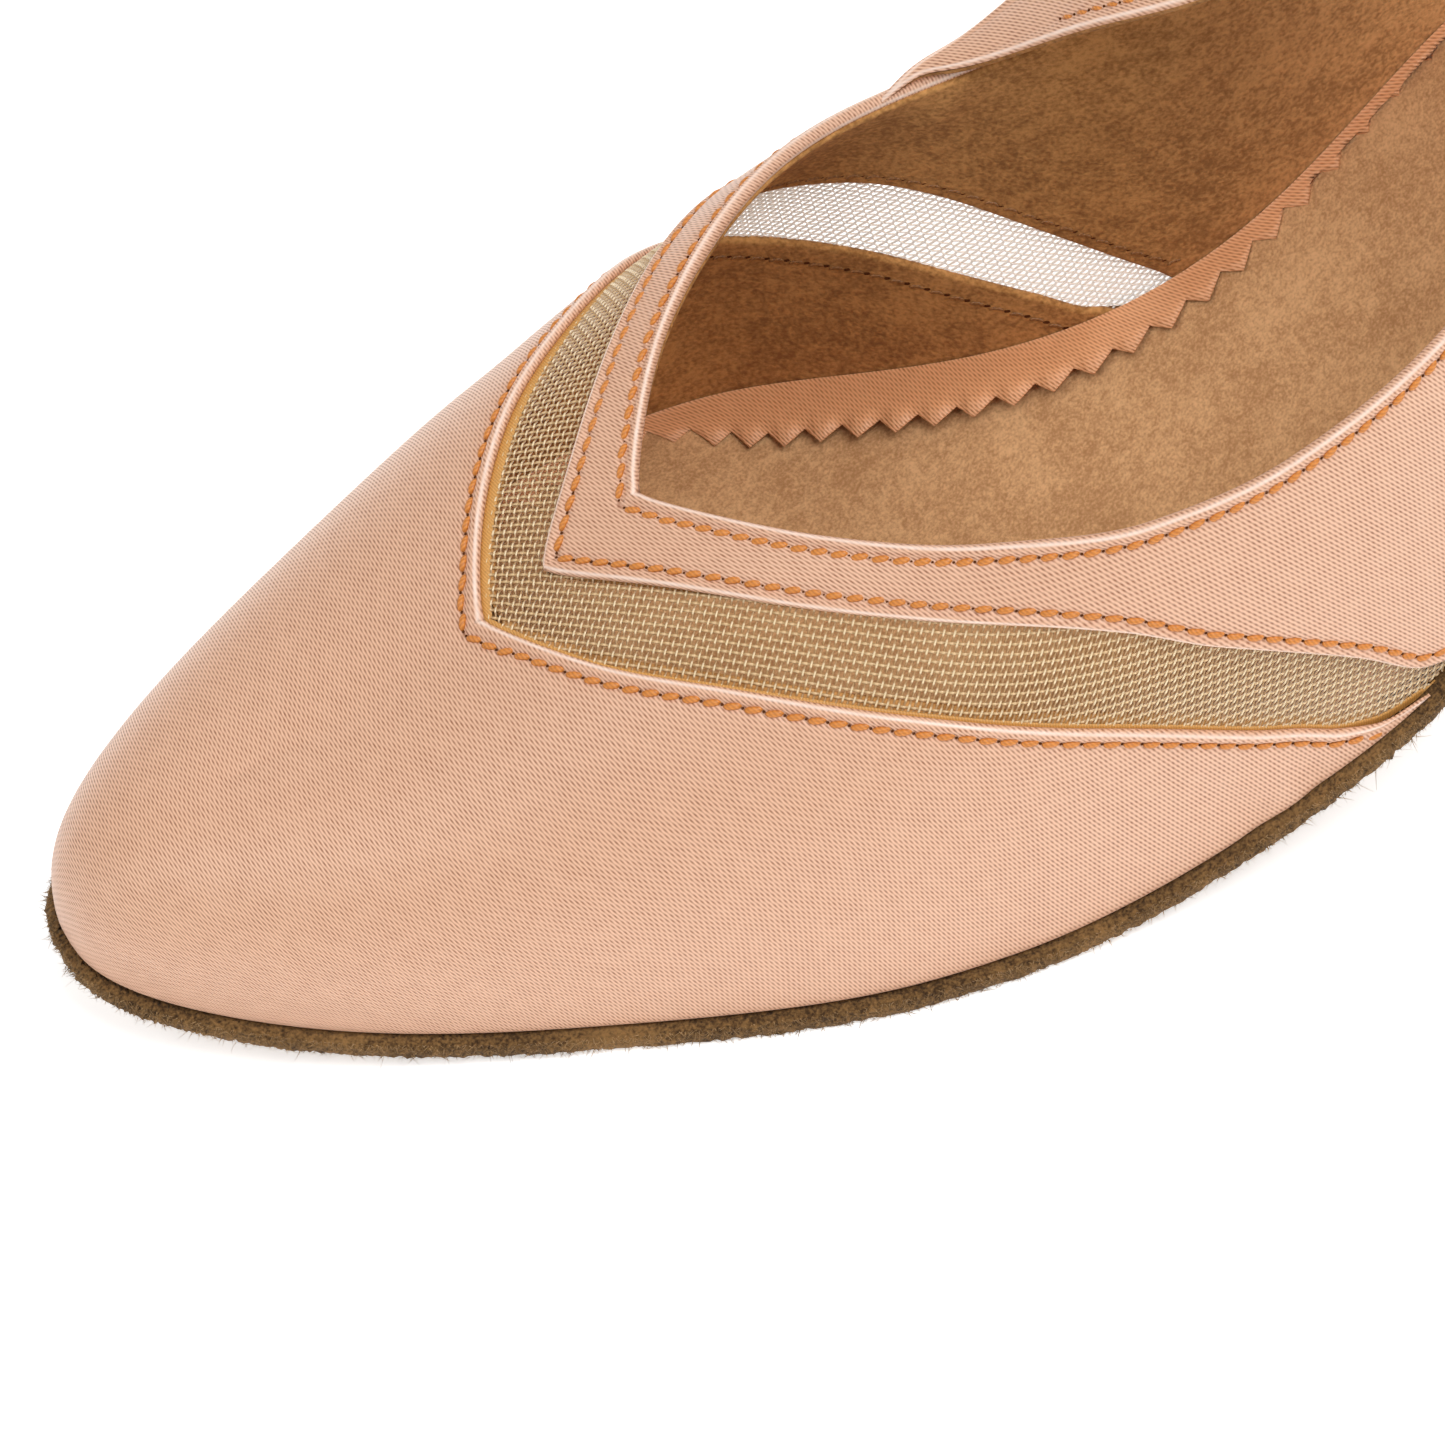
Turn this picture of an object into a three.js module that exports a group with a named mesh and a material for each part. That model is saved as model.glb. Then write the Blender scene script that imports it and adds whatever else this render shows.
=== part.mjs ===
// Ladies' closed dance shoe for the left foot, in millimetres, +Z up.
// The last is drawn with its forepart along X (heel at 0, toe at LAST_LENGTH), lateral side at +Y.
// The finished shoe is then turned so that its whole length lies along X, toe at +X,
// and its origin is the centre of its footprint, on the floor.
import * as THREE from "three";
import { mergeVertices } from "three/addons/utils/BufferGeometryUtils.js";

// Driving dimensions
const LAST_LENGTH = 242;
const WALL = 1.8;
const PANEL_STEP = 0.5;
const LINING_STEP = 0.3;
const SOLE_THICKNESS = 2.3;
const SOLE_MARGIN = 0.9;
const SEAM_GAP = 0.4;
const INSOLE_THICKNESS = 3.0;
const STRAP_THICKNESS = 1.6;
const HEEL_SEAT_LENGTH = 57;
const BREAST_HOLLOW = 1.6;
const TOP_PIECE_HEIGHT = 6;
const TOP_PIECE_DRAFT = 0.3;
const HEEL_MARGIN = 0.6;
const SEAT_WIDTH = 51;
const HEEL_RISE = 53.5;
const HEEL_SEAT_RISE = 3;
const HEEL_SEAT_AT = 45;
const TREAD_AT = 163;
const TOE_SPRING = 6;
const TOE_SPRING_FROM = 190;
const TOE_SWING = 8.5;
const TOE_SWING_FROM = 120;
const TOE_SWING_POWER = 1.5;
const TOE_ROUNDING_FROM = 165;
const TOE_ROUNDNESS = 2.38;
const HEEL_ROUNDING = 26;
const HEEL_ROUNDNESS = 2.2;
const TOE_FAN_FROM = 150;
const TOE_FAN = 20;
const HEEL_FAN_FROM = 60;
const GIRTH_WIDTH_POWER = 2.38;
const GIRTH_HEIGHT_POWER = 2.91;
const COUNTER_BULGE = 2.2;
const COUNTER_BULGE_TO = 62;
const COUNTER_BULGE_POWER = 0.9;
const THROAT_AT = 179.8;
const BAND_POINT_AT = 191.5;
const VAMP_POINT_AT = 199.3;
const POINT_CLEARANCE = 0.4;
const POINT_SPACING = 1.2;

// Where the shell gets a girth curve: steps round the heel and the toe, places between them
const HEEL_STEPS = 8;
const TOE_STEPS = 17;
const WAIST_STATIONS = [26, 34, 42, 50, 57, 65, 73, 81, 89, 97, 105, 111, 116, 119.5, 122, 125.5, 129, 133];
const BALL_STATIONS = [137.5, 142, 147, 152, 157, 162];
const VAMP_ROWS = 10;
const MESH_ROWS = 2;
const BAND_ROWS = 6;
const EDGE_CROWDING = 1.25;
const HEEL_LEVELS = 10;
const BREAST_STEPS = 2;
const NO_WIDTH = 1e-4;
const NO_AREA = 1e-5;
const SAME_PLACE = 1e-3;

const SATIN = { color: 0xe3b49a, roughness: 0.42, metalness: 0 };
const SUEDE = { color: 0x6b4c2c, roughness: 0.95, metalness: 0 };
const SOCK = { color: 0xb08a5a, roughness: 0.9, metalness: 0 };

// Half widths of the feather edge on both sides of the last's line, before toe and heel are rounded off
const FEATHER = [
  { along: 0, lateral: 30.1, medial: 13.8 },
  { along: 35, lateral: 36.5, medial: 14.4 },
  { along: 65, lateral: 34.1, medial: 11.3 },
  { along: 88, lateral: 35.4, medial: 11.6 },
  { along: 110, lateral: 41.7, medial: 11.4 },
  { along: 135, lateral: 41.6, medial: 22.9 },
  { along: 155, lateral: 39.8, medial: 36.1 },
  { along: 175, lateral: 37.6, medial: 37.0 },
  { along: 200, lateral: 31.0, medial: 33.7 },
  { along: 225, lateral: 25.6, medial: 28.3 },
  { along: 242, lateral: 20.7, medial: 22.8 },
];

// Height of the last's ridge above the feather edge
const RIDGE = [
  { along: 0, height: 95 },
  { along: 60, height: 88 },
  { along: 95, height: 77 },
  { along: 120, height: 75 },
  { along: 145, height: 62.5 },
  { along: 165, height: 47.8 },
  { along: 185, height: 37.1 },
  { along: 205, height: 25.8 },
  { along: 225, height: 18.8 },
];

// Edges of the panels, as the share of the way up from the feather edge (0) to the ridge (1)
const TOPLINE = [
  { along: 0, lateral: 0.315, medial: 0.315 },
  { along: 15, lateral: 0.296, medial: 0.296 },
  { along: 30, lateral: 0.263, medial: 0.265 },
  { along: 50, lateral: 0.234, medial: 0.238 },
  { along: 75, lateral: 0.244, medial: 0.258 },
  { along: 100, lateral: 0.283, medial: 0.316 },
  { along: 116, lateral: 0.294, medial: 0.356 },
  { along: 130, lateral: 0.327, medial: 0.42 },
  { along: 143, lateral: 0.41, medial: 0.507 },
  { along: 156, lateral: 0.575, medial: 0.635 },
  { along: 168, lateral: 0.77, medial: 0.79 },
  { along: THROAT_AT, lateral: 1, medial: 1 },
];
const BAND_EDGE = [
  { along: 116, lateral: 0, medial: 0 },
  { along: 127, lateral: 0.058, medial: 0.07 },
  { along: 140, lateral: 0.196, medial: 0.215 },
  { along: 156, lateral: 0.432, medial: 0.455 },
  { along: 172, lateral: 0.677, medial: 0.715 },
  { along: 184, lateral: 0.88, medial: 0.905 },
  { along: BAND_POINT_AT, lateral: 1, medial: 1 },
];
const VAMP_EDGE = [
  { along: 122, lateral: 0, medial: 0 },
  { along: 138, lateral: 0.07, medial: 0.08 },
  { along: 152, lateral: 0.21, medial: 0.222 },
  { along: 169, lateral: 0.435, medial: 0.475 },
  { along: 182, lateral: 0.633, medial: 0.655 },
  { along: 190, lateral: 0.77, medial: 0.8 },
  { along: VAMP_POINT_AT, lateral: 1, medial: 1 },
];

// Both edges of the instep strap between its root on the medial topline and the lateral topline
const STRAP = [
  { toe: [135.4, -17.4, 63.0], heel: [133.9, -20.4, 63.8] },
  { toe: [131.2, -12.4, 66.6], heel: [128.6, -18.6, 68.4] },
  { toe: [125.7, -5.4, 74.0], heel: [121.5, -14.6, 76.4] },
  { toe: [119.8, 1.3, 80.0], heel: [113.9, -8.8, 83.0] },
  { toe: [110.5, 8.4, 87.0], heel: [103.8, -1.2, 89.6] },
  { toe: [101.5, 16.2, 91.6], heel: [93.4, 8.2, 94.4] },
  { toe: [93.8, 24.6, 90.6], heel: [84.0, 19.0, 95.6] },
  { toe: [89.6, 30.4, 86.6], heel: [78.6, 27.6, 92.8] },
];
const STRAP_ROOT_AT = 138;
const STRAP_ROOT_WIDTH = 2.6;
const STRAP_ROOT_INSET = 0.6;
const STRAP_ROOT_SKEW = 1;
const STRAP_END_AT = { toe: 88, heel: 76.5 };
const STRAP_CROWN = 0.5;
const STRAP_FULL_WIDTH = 10;
const STRAP_STEPS = 40;

// Sections of the heel from its top piece (share 0) to the seat (share 1)
const HEEL_SECTIONS = [
  { share: 0, back: 7.5, front: 36.5, width: 28 },
  { share: 0.16, back: 8.4, front: 35, width: 25.5 },
  { share: 0.4, back: 9.2, front: 35.4, width: 25 },
  { share: 0.62, back: 8.2, front: 38.4, width: 28.5 },
  { share: 0.8, back: 4.8, front: 43.6, width: 37 },
  { share: 0.92, back: 1.2, front: 50.5, width: 46.5 },
  { share: 1, back: 0, front: HEEL_SEAT_LENGTH, width: 51 },
];
const HEEL_MIDDLE = 11;

const LATERAL = 1;
const MEDIAL = -1;
const SIDES = [LATERAL, MEDIAL];

// Curves through the rows of a table

// Natural cubic spline through one column
function throughRows(rows, column, by = "along") {
  const at = rows.map((row) => row[by]);
  const value = rows.map((row) => row[column]);
  const last = rows.length - 1;
  const bend = new Array(rows.length).fill(0);
  const share = new Array(rows.length).fill(0);
  for (let i = 1; i < last; i += 1) {
    const before = at[i] - at[i - 1];
    const after = at[i + 1] - at[i];
    const turn = (value[i + 1] - value[i]) / after - (value[i] - value[i - 1]) / before;
    const pivot = 2 * (before + after) - before * share[i - 1];
    share[i] = after / pivot;
    bend[i] = (6 * turn - before * bend[i - 1]) / pivot;
  }
  for (let i = last - 1; i > 0; i -= 1) {
    bend[i] -= share[i] * bend[i + 1];
  }
  return (x) => {
    const i = rowBefore(at, x);
    const step = at[i + 1] - at[i];
    const b = THREE.MathUtils.clamp((x - at[i]) / step, 0, 1);
    const a = 1 - b;
    const sag = ((a ** 3 - a) * bend[i] + (b ** 3 - b) * bend[i + 1]) * step ** 2 / 6;
    return a * value[i] + b * value[i + 1] + sag;
  };
}

// Smooth curve through one column that never runs past its rows
function alongRows(rows, column) {
  const at = rows.map((row) => row.along);
  const value = rows.map((row) => row[column]);
  const slope = at.map((x, i) => {
    if (i === 0) {
      return (value[1] - value[0]) / (at[1] - at[0]);
    }
    if (i === at.length - 1) {
      return (value[i] - value[i - 1]) / (at[i] - at[i - 1]);
    }
    const before = (value[i] - value[i - 1]) / (at[i] - at[i - 1]);
    const after = (value[i + 1] - value[i]) / (at[i + 1] - at[i]);
    return before * after <= 0 ? 0 : (2 * before * after) / (before + after);
  });
  return (x) => {
    const i = rowBefore(at, x);
    const step = at[i + 1] - at[i];
    const t = THREE.MathUtils.clamp((x - at[i]) / step, 0, 1);
    const rise = value[i + 1] - value[i];
    const start = slope[i] * step;
    const end = slope[i + 1] * step;
    return value[i] + t * (start + t * (3 * rise - 2 * start - end + t * (start + end - 2 * rise)));
  };
}

function rowBefore(at, x) {
  let i = 0;
  while (i < at.length - 2 && x > at[i + 1]) {
    i += 1;
  }
  return i;
}

function softStep(t) {
  return THREE.MathUtils.smoothstep(t, 0, 1);
}

// The last

const halfWidth = {
  [LATERAL]: throughRows(FEATHER, "lateral"),
  [MEDIAL]: throughRows(FEATHER, "medial"),
};
const ridgeHeight = throughRows(RIDGE, "height");
const topline = { [LATERAL]: alongRows(TOPLINE, "lateral"), [MEDIAL]: alongRows(TOPLINE, "medial") };
const bandEdge = { [LATERAL]: alongRows(BAND_EDGE, "lateral"), [MEDIAL]: alongRows(BAND_EDGE, "medial") };
const vampEdge = { [LATERAL]: alongRows(VAMP_EDGE, "lateral"), [MEDIAL]: alongRows(VAMP_EDGE, "medial") };

// Height of the sole's underside above the floor: heel seat, arch, flat tread and toe spring
function treadHeight(x) {
  const arch = HEEL_RISE * softStep((TREAD_AT - x) / (TREAD_AT - HEEL_SEAT_AT));
  const seat = HEEL_SEAT_RISE * THREE.MathUtils.clamp((HEEL_SEAT_AT - x) / HEEL_SEAT_AT, 0, 1);
  const toe = Math.max(0, (x - TOE_SPRING_FROM) / (LAST_LENGTH - TOE_SPRING_FROM));
  return arch + seat + TOE_SPRING * toe ** 2;
}

// The last's own line, which swings to the medial side at the toe
function middle(x) {
  const toe = Math.max(0, (x - TOE_SWING_FROM) / (LAST_LENGTH - TOE_SWING_FROM));
  return -TOE_SWING * toe ** TOE_SWING_POWER;
}

function rounding(share, roundness) {
  const along = THREE.MathUtils.clamp(share, 0, 1);
  return (1 - along ** roundness) ** (1 / roundness);
}

// Feather edge of one side
function featherEdge(x, side) {
  const toe = rounding((x - TOE_ROUNDING_FROM) / (LAST_LENGTH - TOE_ROUNDING_FROM), TOE_ROUNDNESS);
  const heel = rounding((HEEL_ROUNDING - x) / HEEL_ROUNDING, HEEL_ROUNDNESS);
  const y = middle(x) + side * halfWidth[side](x) * toe * heel;
  return new THREE.Vector3(x, y, lastBottom(x));
}

// Level of the last's own bottom, which upper and insole stand on
function lastBottom(x) {
  return treadHeight(x) + SOLE_THICKNESS + SEAM_GAP;
}

// Place on the ridge that the girth curve from feather edge x runs up to
function ridgeAt(x) {
  if (x > TOE_FAN_FROM) {
    const reach = LAST_LENGTH - TOE_FAN_FROM;
    const t = (x - TOE_FAN_FROM) / reach;
    return TOE_FAN_FROM + reach * t - TOE_FAN * t ** 3;
  }
  const t = Math.max(0, (HEEL_FAN_FROM - x) / HEEL_FAN_FROM);
  return Math.max(x, HEEL_FAN_FROM) - HEEL_FAN_FROM * (t - t ** 3 / 3);
}

// Point on the last's surface: a quarter of a superellipse from the feather edge (up 0) to the ridge (up 1)
function onLast(x, side, up) {
  const foot = featherEdge(x, side);
  const ridge = ridgeAt(x);
  const top = lastBottom(ridge) + ridgeHeight(ridge);
  const angle = up * Math.PI / 2;
  const inward = 1 - Math.cos(angle) ** (2 / GIRTH_WIDTH_POWER);
  const upward = Math.sin(angle) ** (2 / GIRTH_HEIGHT_POWER);
  const point = new THREE.Vector3(
    THREE.MathUtils.lerp(foot.x, ridge, inward),
    THREE.MathUtils.lerp(foot.y, middle(ridge), inward),
    THREE.MathUtils.lerp(foot.z, top, upward),
  );
  return point.addScaledVector(outOfHeel(x, side), counterBulge(x, up));
}

// How far the back of the heel stands out between seat and topline
function counterBulge(x, up) {
  const along = softStep((COUNTER_BULGE_TO - x) / COUNTER_BULGE_TO);
  const level = Math.min(1, up / topline[LATERAL](x));
  return COUNTER_BULGE * along * Math.sin(Math.PI * level ** COUNTER_BULGE_POWER);
}

function outOfHeel(x, side) {
  const turn = Math.acos(THREE.MathUtils.clamp(1 - x / HEEL_ROUNDING, 0, 1));
  return new THREE.Vector3(-Math.cos(turn), side * Math.sin(turn), 0);
}

// Stations along the feather edge, close together where toe and heel turn
function stations() {
  const list = [...WAIST_STATIONS, ...BALL_STATIONS];
  for (let i = 0; i < HEEL_STEPS; i += 1) {
    const turn = (i / HEEL_STEPS) * Math.PI / 2;
    list.push(HEEL_ROUNDING * (1 - Math.cos(turn) ** (2 / HEEL_ROUNDNESS)));
  }
  for (let i = 0; i <= TOE_STEPS; i += 1) {
    const turn = (i / TOE_STEPS) * Math.PI / 2;
    list.push(TOE_ROUNDING_FROM + (LAST_LENGTH - TOE_ROUNDING_FROM) * Math.sin(turn) ** (2 / TOE_ROUNDNESS));
  }
  const points = [THROAT_AT, BAND_POINT_AT, VAMP_POINT_AT];
  const clear = list.filter((x) => points.every((point) => Math.abs(x - point) > POINT_SPACING));
  return clear.concat(points, points.map((point) => point - POINT_CLEARANCE)).sort((a, b) => a - b);
}

// Building closed meshes

// Collects triangles by corner, merges corners that coincide and drops triangles of no area
class Skin {
  constructor() {
    this.corners = [];
  }

  triangle(a, b, c) {
    const area = new THREE.Vector3().subVectors(b, a).cross(new THREE.Vector3().subVectors(c, a));
    if (area.length() > NO_AREA) {
      this.corners.push(a, b, c);
    }
  }

  // a and b run along one edge, c and d along the opposite one
  quad(a, b, c, d) {
    if (a.distanceTo(d) < b.distanceTo(c)) {
      this.triangle(a, b, d);
      this.triangle(a, d, c);
    } else {
      this.triangle(a, b, c);
      this.triangle(b, d, c);
    }
  }

  strip(one, other) {
    for (let i = 0; i < one.length - 1; i += 1) {
      this.quad(one[i], one[i + 1], other[i], other[i + 1]);
    }
  }

  geometry() {
    const flat = new Float32Array(this.corners.length * 3);
    this.corners.forEach((corner, i) => corner.toArray(flat, i * 3));
    const geometry = new THREE.BufferGeometry();
    geometry.setAttribute("position", new THREE.BufferAttribute(flat, 3));
    return mergeVertices(geometry, SAME_PLACE);
  }
}

function piece(name, geometry, finish) {
  const mesh = new THREE.Mesh(geometry, new THREE.MeshStandardMaterial(finish));
  mesh.geometry.computeVertexNormals();
  mesh.name = name;
  return mesh;
}

// The upper: one shell whose mesh V lies a step below the satin vamp and throat band, inside as outside

// Levels at which the panels of one girth curve meet
function panelLevels(x, side) {
  const vamp = x >= VAMP_POINT_AT ? 1 : vampEdge[side](x);
  const band = x >= BAND_POINT_AT ? 1 : Math.max(vamp, bandEdge[side](x));
  const top = x >= THROAT_AT ? 1 : topline[side](x);
  return { vamp, band, top };
}

// Rows of one girth curve from feather edge to topline or ridge, each with the recess of its panel
function girthRows(x, side) {
  const { vamp, band, top } = panelLevels(x, side);
  const meshShows = band - vamp > NO_WIDTH ? 1 : 0;
  const vampRecess = vamp > NO_WIDTH ? 0 : meshShows;
  const bandRecess = top - band > NO_WIDTH ? 0 : meshShows;
  const rows = [];
  for (let i = 0; i <= VAMP_ROWS; i += 1) {
    rows.push({ up: vamp * (i / VAMP_ROWS) ** EDGE_CROWDING, recess: vampRecess });
  }
  for (let i = 0; i <= MESH_ROWS; i += 1) {
    rows.push({ up: vamp + (band - vamp) * i / MESH_ROWS, recess: meshShows });
  }
  for (let i = 0; i <= BAND_ROWS; i += 1) {
    rows.push({ up: band + (top - band) * i / BAND_ROWS, recess: bandRecess });
  }
  return rows.map((row) => ({ recess: row.recess, point: onLast(x, side, row.up) }));
}

function placeKey(point) {
  return point.toArray().map((value) => Math.round(value / SAME_PLACE)).join();
}

// Outward direction at every place of the last's surface, shared by both sides along the ridge
function outwardDirections(girths) {
  const skin = new Skin();
  addSides(skin, girths, (row) => row.point);
  const directions = new Map();
  for (let i = 0; i < skin.corners.length; i += 3) {
    const [a, b, c] = skin.corners.slice(i, i + 3);
    const area = new THREE.Vector3().subVectors(b, a).cross(new THREE.Vector3().subVectors(c, a));
    for (const corner of [a, b, c]) {
      const key = placeKey(corner);
      directions.set(key, (directions.get(key) ?? new THREE.Vector3()).add(area));
    }
  }
  directions.forEach((direction) => direction.normalize());
  return directions;
}

// Both sides of a surface given by one point for each row
function addSides(skin, girths, place) {
  for (const side of SIDES) {
    const columns = girths[side].map((rows) => rows.map(place));
    for (let i = 0; i < columns.length - 1; i += 1) {
      if (side === LATERAL) {
        skin.strip(columns[i], columns[i + 1]);
      } else {
        skin.strip(columns[i + 1], columns[i]);
      }
    }
  }
}

function upperGeometry() {
  const xs = stations();
  const girths = {};
  for (const side of SIDES) {
    girths[side] = xs.map((x) => girthRows(x, side));
  }
  const directions = outwardDirections(girths);
  for (const side of SIDES) {
    for (const rows of girths[side]) {
      rows.forEach((row, i) => {
        const out = directions.get(placeKey(row.point)).clone();
        if (i === 0 || row.point.z === rows[0].point.z) {
          out.setZ(0).normalize();
        }
        row.outer = row.point.clone().addScaledVector(out, -PANEL_STEP * row.recess);
        row.inner = row.point.clone().addScaledVector(out, LINING_STEP * row.recess - WALL);
      });
    }
  }
  const outside = new Skin();
  addSides(outside, girths, (row) => row.outer);
  const inside = new Skin();
  addSides(inside, girths, (row) => row.inner);
  const whole = new Skin();
  whole.corners = outside.corners.concat(inside.corners.toReversed());
  addRims(whole, girths, xs);
  return whole.geometry();
}

// Topline back to the throat's point, and the lower edge that the sole closes
function addRims(skin, girths, xs) {
  for (const side of SIDES) {
    const columns = girths[side];
    for (let i = 0; i < columns.length - 1; i += 1) {
      const here = columns[i];
      const next = columns[i + 1];
      addRim(skin, side, [here[0].inner, next[0].inner], [here[0].outer, next[0].outer]);
      if (xs[i] < THROAT_AT) {
        const last = here.length - 1;
        addRim(skin, side, [here[last].outer, next[last].outer], [here[last].inner, next[last].inner]);
      }
    }
  }
}

function addRim(skin, side, one, other) {
  if (side === LATERAL) {
    skin.quad(other[0], other[1], one[0], one[1]);
  } else {
    skin.quad(one[0], one[1], other[0], other[1]);
  }
}

// Plates and blocks: levels of a lateral and a medial line that share their first and last point

// Plan line of one side, moved out from the feather edge
function edgeLine(xs, side, outset) {
  const last = xs.length - 1;
  return xs.map((x, i) => {
    const here = featherEdge(x, side);
    let before = here;
    let after = here;
    if (i > 0) {
      before = featherEdge(xs[i - 1], side);
    } else if (x === 0) {
      before = featherEdge(xs[1], -side);
    }
    if (i < last) {
      after = featherEdge(xs[i + 1], side);
    } else if (x === LAST_LENGTH) {
      after = featherEdge(xs[last - 1], -side);
    }
    const run = new THREE.Vector3().subVectors(after, before).setZ(0).normalize();
    return here.clone().add(new THREE.Vector3(-side * run.y, side * run.x, 0).multiplyScalar(outset));
  });
}

function block(levels, breastPoints = 0) {
  const skin = new Skin();
  for (let k = 0; k < levels.length - 1; k += 1) {
    const low = levels[k];
    const high = levels[k + 1];
    for (let i = 0; i < low.lateral.length - 1; i += 1) {
      skin.quad(low.lateral[i], high.lateral[i], low.lateral[i + 1], high.lateral[i + 1]);
      skin.quad(low.medial[i + 1], high.medial[i + 1], low.medial[i], high.medial[i]);
    }
  }
  const bottom = levels[0];
  const top = levels[levels.length - 1];
  addCap(skin, bottom.lateral, bottom.medial, breastPoints);
  addCap(skin, top.medial, top.lateral, breastPoints);
  return skin.geometry();
}

// Face between two lines; where they end in a hollow breast, its points are joined to the last pair before it
function addCap(skin, one, other, breastPoints) {
  const stations = one.length - breastPoints;
  skin.strip(one.slice(0, stations), other.slice(0, stations));
  const [a, b] = [one[stations - 1], other[stations - 1]];
  for (let i = stations; i < one.length - 1; i += 1) {
    skin.triangle(a, one[i], one[i + 1]);
    skin.triangle(b, other[i + 1], other[i]);
  }
  if (breastPoints > 0) {
    skin.triangle(a, one[one.length - 1], b);
  }
}

function atHeight(line, height) {
  return line.map((point) => new THREE.Vector3(point.x, point.y, height(point.x)));
}

function closedFrom(line, start) {
  return [start.clone(), ...line];
}

// Outsole from the heel breast to the toe, of even thickness
function outsoleGeometry() {
  const from = HEEL_SEAT_LENGTH + SEAM_GAP;
  const xs = [from, ...stations().filter((x) => x > from + POINT_SPACING)];
  const lateral = edgeLine(xs, LATERAL, SOLE_MARGIN);
  const medial = edgeLine(xs, MEDIAL, SOLE_MARGIN);
  lateral[0].x = from;
  medial[0].x = from;
  const start = new THREE.Vector3().addVectors(lateral[0], medial[0]).multiplyScalar(0.5);
  start.x -= BREAST_HOLLOW;
  const level = (height) => ({
    lateral: atHeight(closedFrom(lateral, start), height),
    medial: atHeight(closedFrom(medial, start), height),
  });
  return block([level(treadHeight), level((x) => treadHeight(x) + SOLE_THICKNESS)]);
}

// Insole inside the upper's lower edge
function insoleGeometry() {
  const xs = stations();
  const inset = -(WALL + 2 * SEAM_GAP);
  const level = (height) => ({
    lateral: atHeight(edgeLine(xs, LATERAL, inset), height),
    medial: atHeight(edgeLine(xs, MEDIAL, inset), height),
  });
  return block([level(lastBottom), level((x) => lastBottom(x) + INSOLE_THICKNESS)]);
}

// Heel: the seat's own outline, drawn in to its waist and let out again to the top piece

// Outline of the seat, with its hollow breast
function seatLine(side) {
  const xs = stations().filter((x) => x < HEEL_SEAT_LENGTH - POINT_SPACING);
  xs.push(HEEL_SEAT_LENGTH);
  const line = edgeLine(xs, side, HEEL_MARGIN);
  const corner = line[line.length - 1];
  corner.x = HEEL_SEAT_LENGTH;
  for (let i = 1; i <= BREAST_STEPS; i += 1) {
    const share = i / BREAST_STEPS;
    const y = THREE.MathUtils.lerp(corner.y, HEEL_MIDDLE, share);
    line.push(new THREE.Vector3(HEEL_SEAT_LENGTH - BREAST_HOLLOW * Math.sin(share * Math.PI / 2), y, 0));
  }
  return line;
}

function heelLine(side, share, inset = 0) {
  const back = throughRows(HEEL_SECTIONS, "back", "share")(share) + inset;
  const front = throughRows(HEEL_SECTIONS, "front", "share")(share) - inset;
  const width = throughRows(HEEL_SECTIONS, "width", "share")(share) - 2 * inset;
  return seatLine(side).map((point) => new THREE.Vector3(
    back + (front - back) * point.x / HEEL_SEAT_LENGTH,
    HEEL_MIDDLE + width * (point.y - HEEL_MIDDLE) / SEAT_WIDTH,
    point.x,
  ));
}

function heelGeometry() {
  const foot = TOP_PIECE_HEIGHT + SEAM_GAP;
  const levels = [];
  for (let i = 0; i <= HEEL_LEVELS; i += 1) {
    const share = i / HEEL_LEVELS;
    const raised = (line) => line.map((point) => {
      const seat = treadHeight(point.z) + SOLE_THICKNESS;
      return new THREE.Vector3(point.x, point.y, THREE.MathUtils.lerp(foot, seat, share));
    });
    levels.push({ lateral: raised(heelLine(LATERAL, share)), medial: raised(heelLine(MEDIAL, share)) });
  }
  return block(levels, BREAST_STEPS + 1);
}

function topPieceGeometry() {
  const inset = TOP_PIECE_DRAFT;
  const level = (height, draft) => ({
    lateral: atHeight(heelLine(LATERAL, 0, draft), () => height),
    medial: atHeight(heelLine(MEDIAL, 0, draft), () => height),
  });
  const levels = [level(0, 2 * inset), level(2 * inset, inset), level(TOP_PIECE_HEIGHT, inset)];
  return block(levels, BREAST_STEPS + 1);
}

// Instep strap: a crowned band between its two edges
function rimPoint(x, side) {
  return onLast(x, side, topline[side](x));
}

function strapEdges() {
  const lift = 2 * SEAM_GAP + STRAP_THICKNESS / 2;
  const root = rimPoint(STRAP_ROOT_AT, MEDIAL);
  const across = root.y - STRAP_ROOT_INSET;
  const toe = [new THREE.Vector3(root.x - STRAP_ROOT_SKEW, across + STRAP_ROOT_WIDTH, root.z + lift)];
  const heel = [new THREE.Vector3(root.x, across, root.z + lift)];
  for (const row of STRAP) {
    toe.push(new THREE.Vector3(...row.toe));
    heel.push(new THREE.Vector3(...row.heel));
  }
  const inward = new THREE.Vector3(0, -WALL / 2, lift);
  toe.push(rimPoint(STRAP_END_AT.toe, LATERAL).add(inward));
  heel.push(rimPoint(STRAP_END_AT.heel, LATERAL).add(inward));
  return { toe: new THREE.CatmullRomCurve3(toe), heel: new THREE.CatmullRomCurve3(heel) };
}

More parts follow.
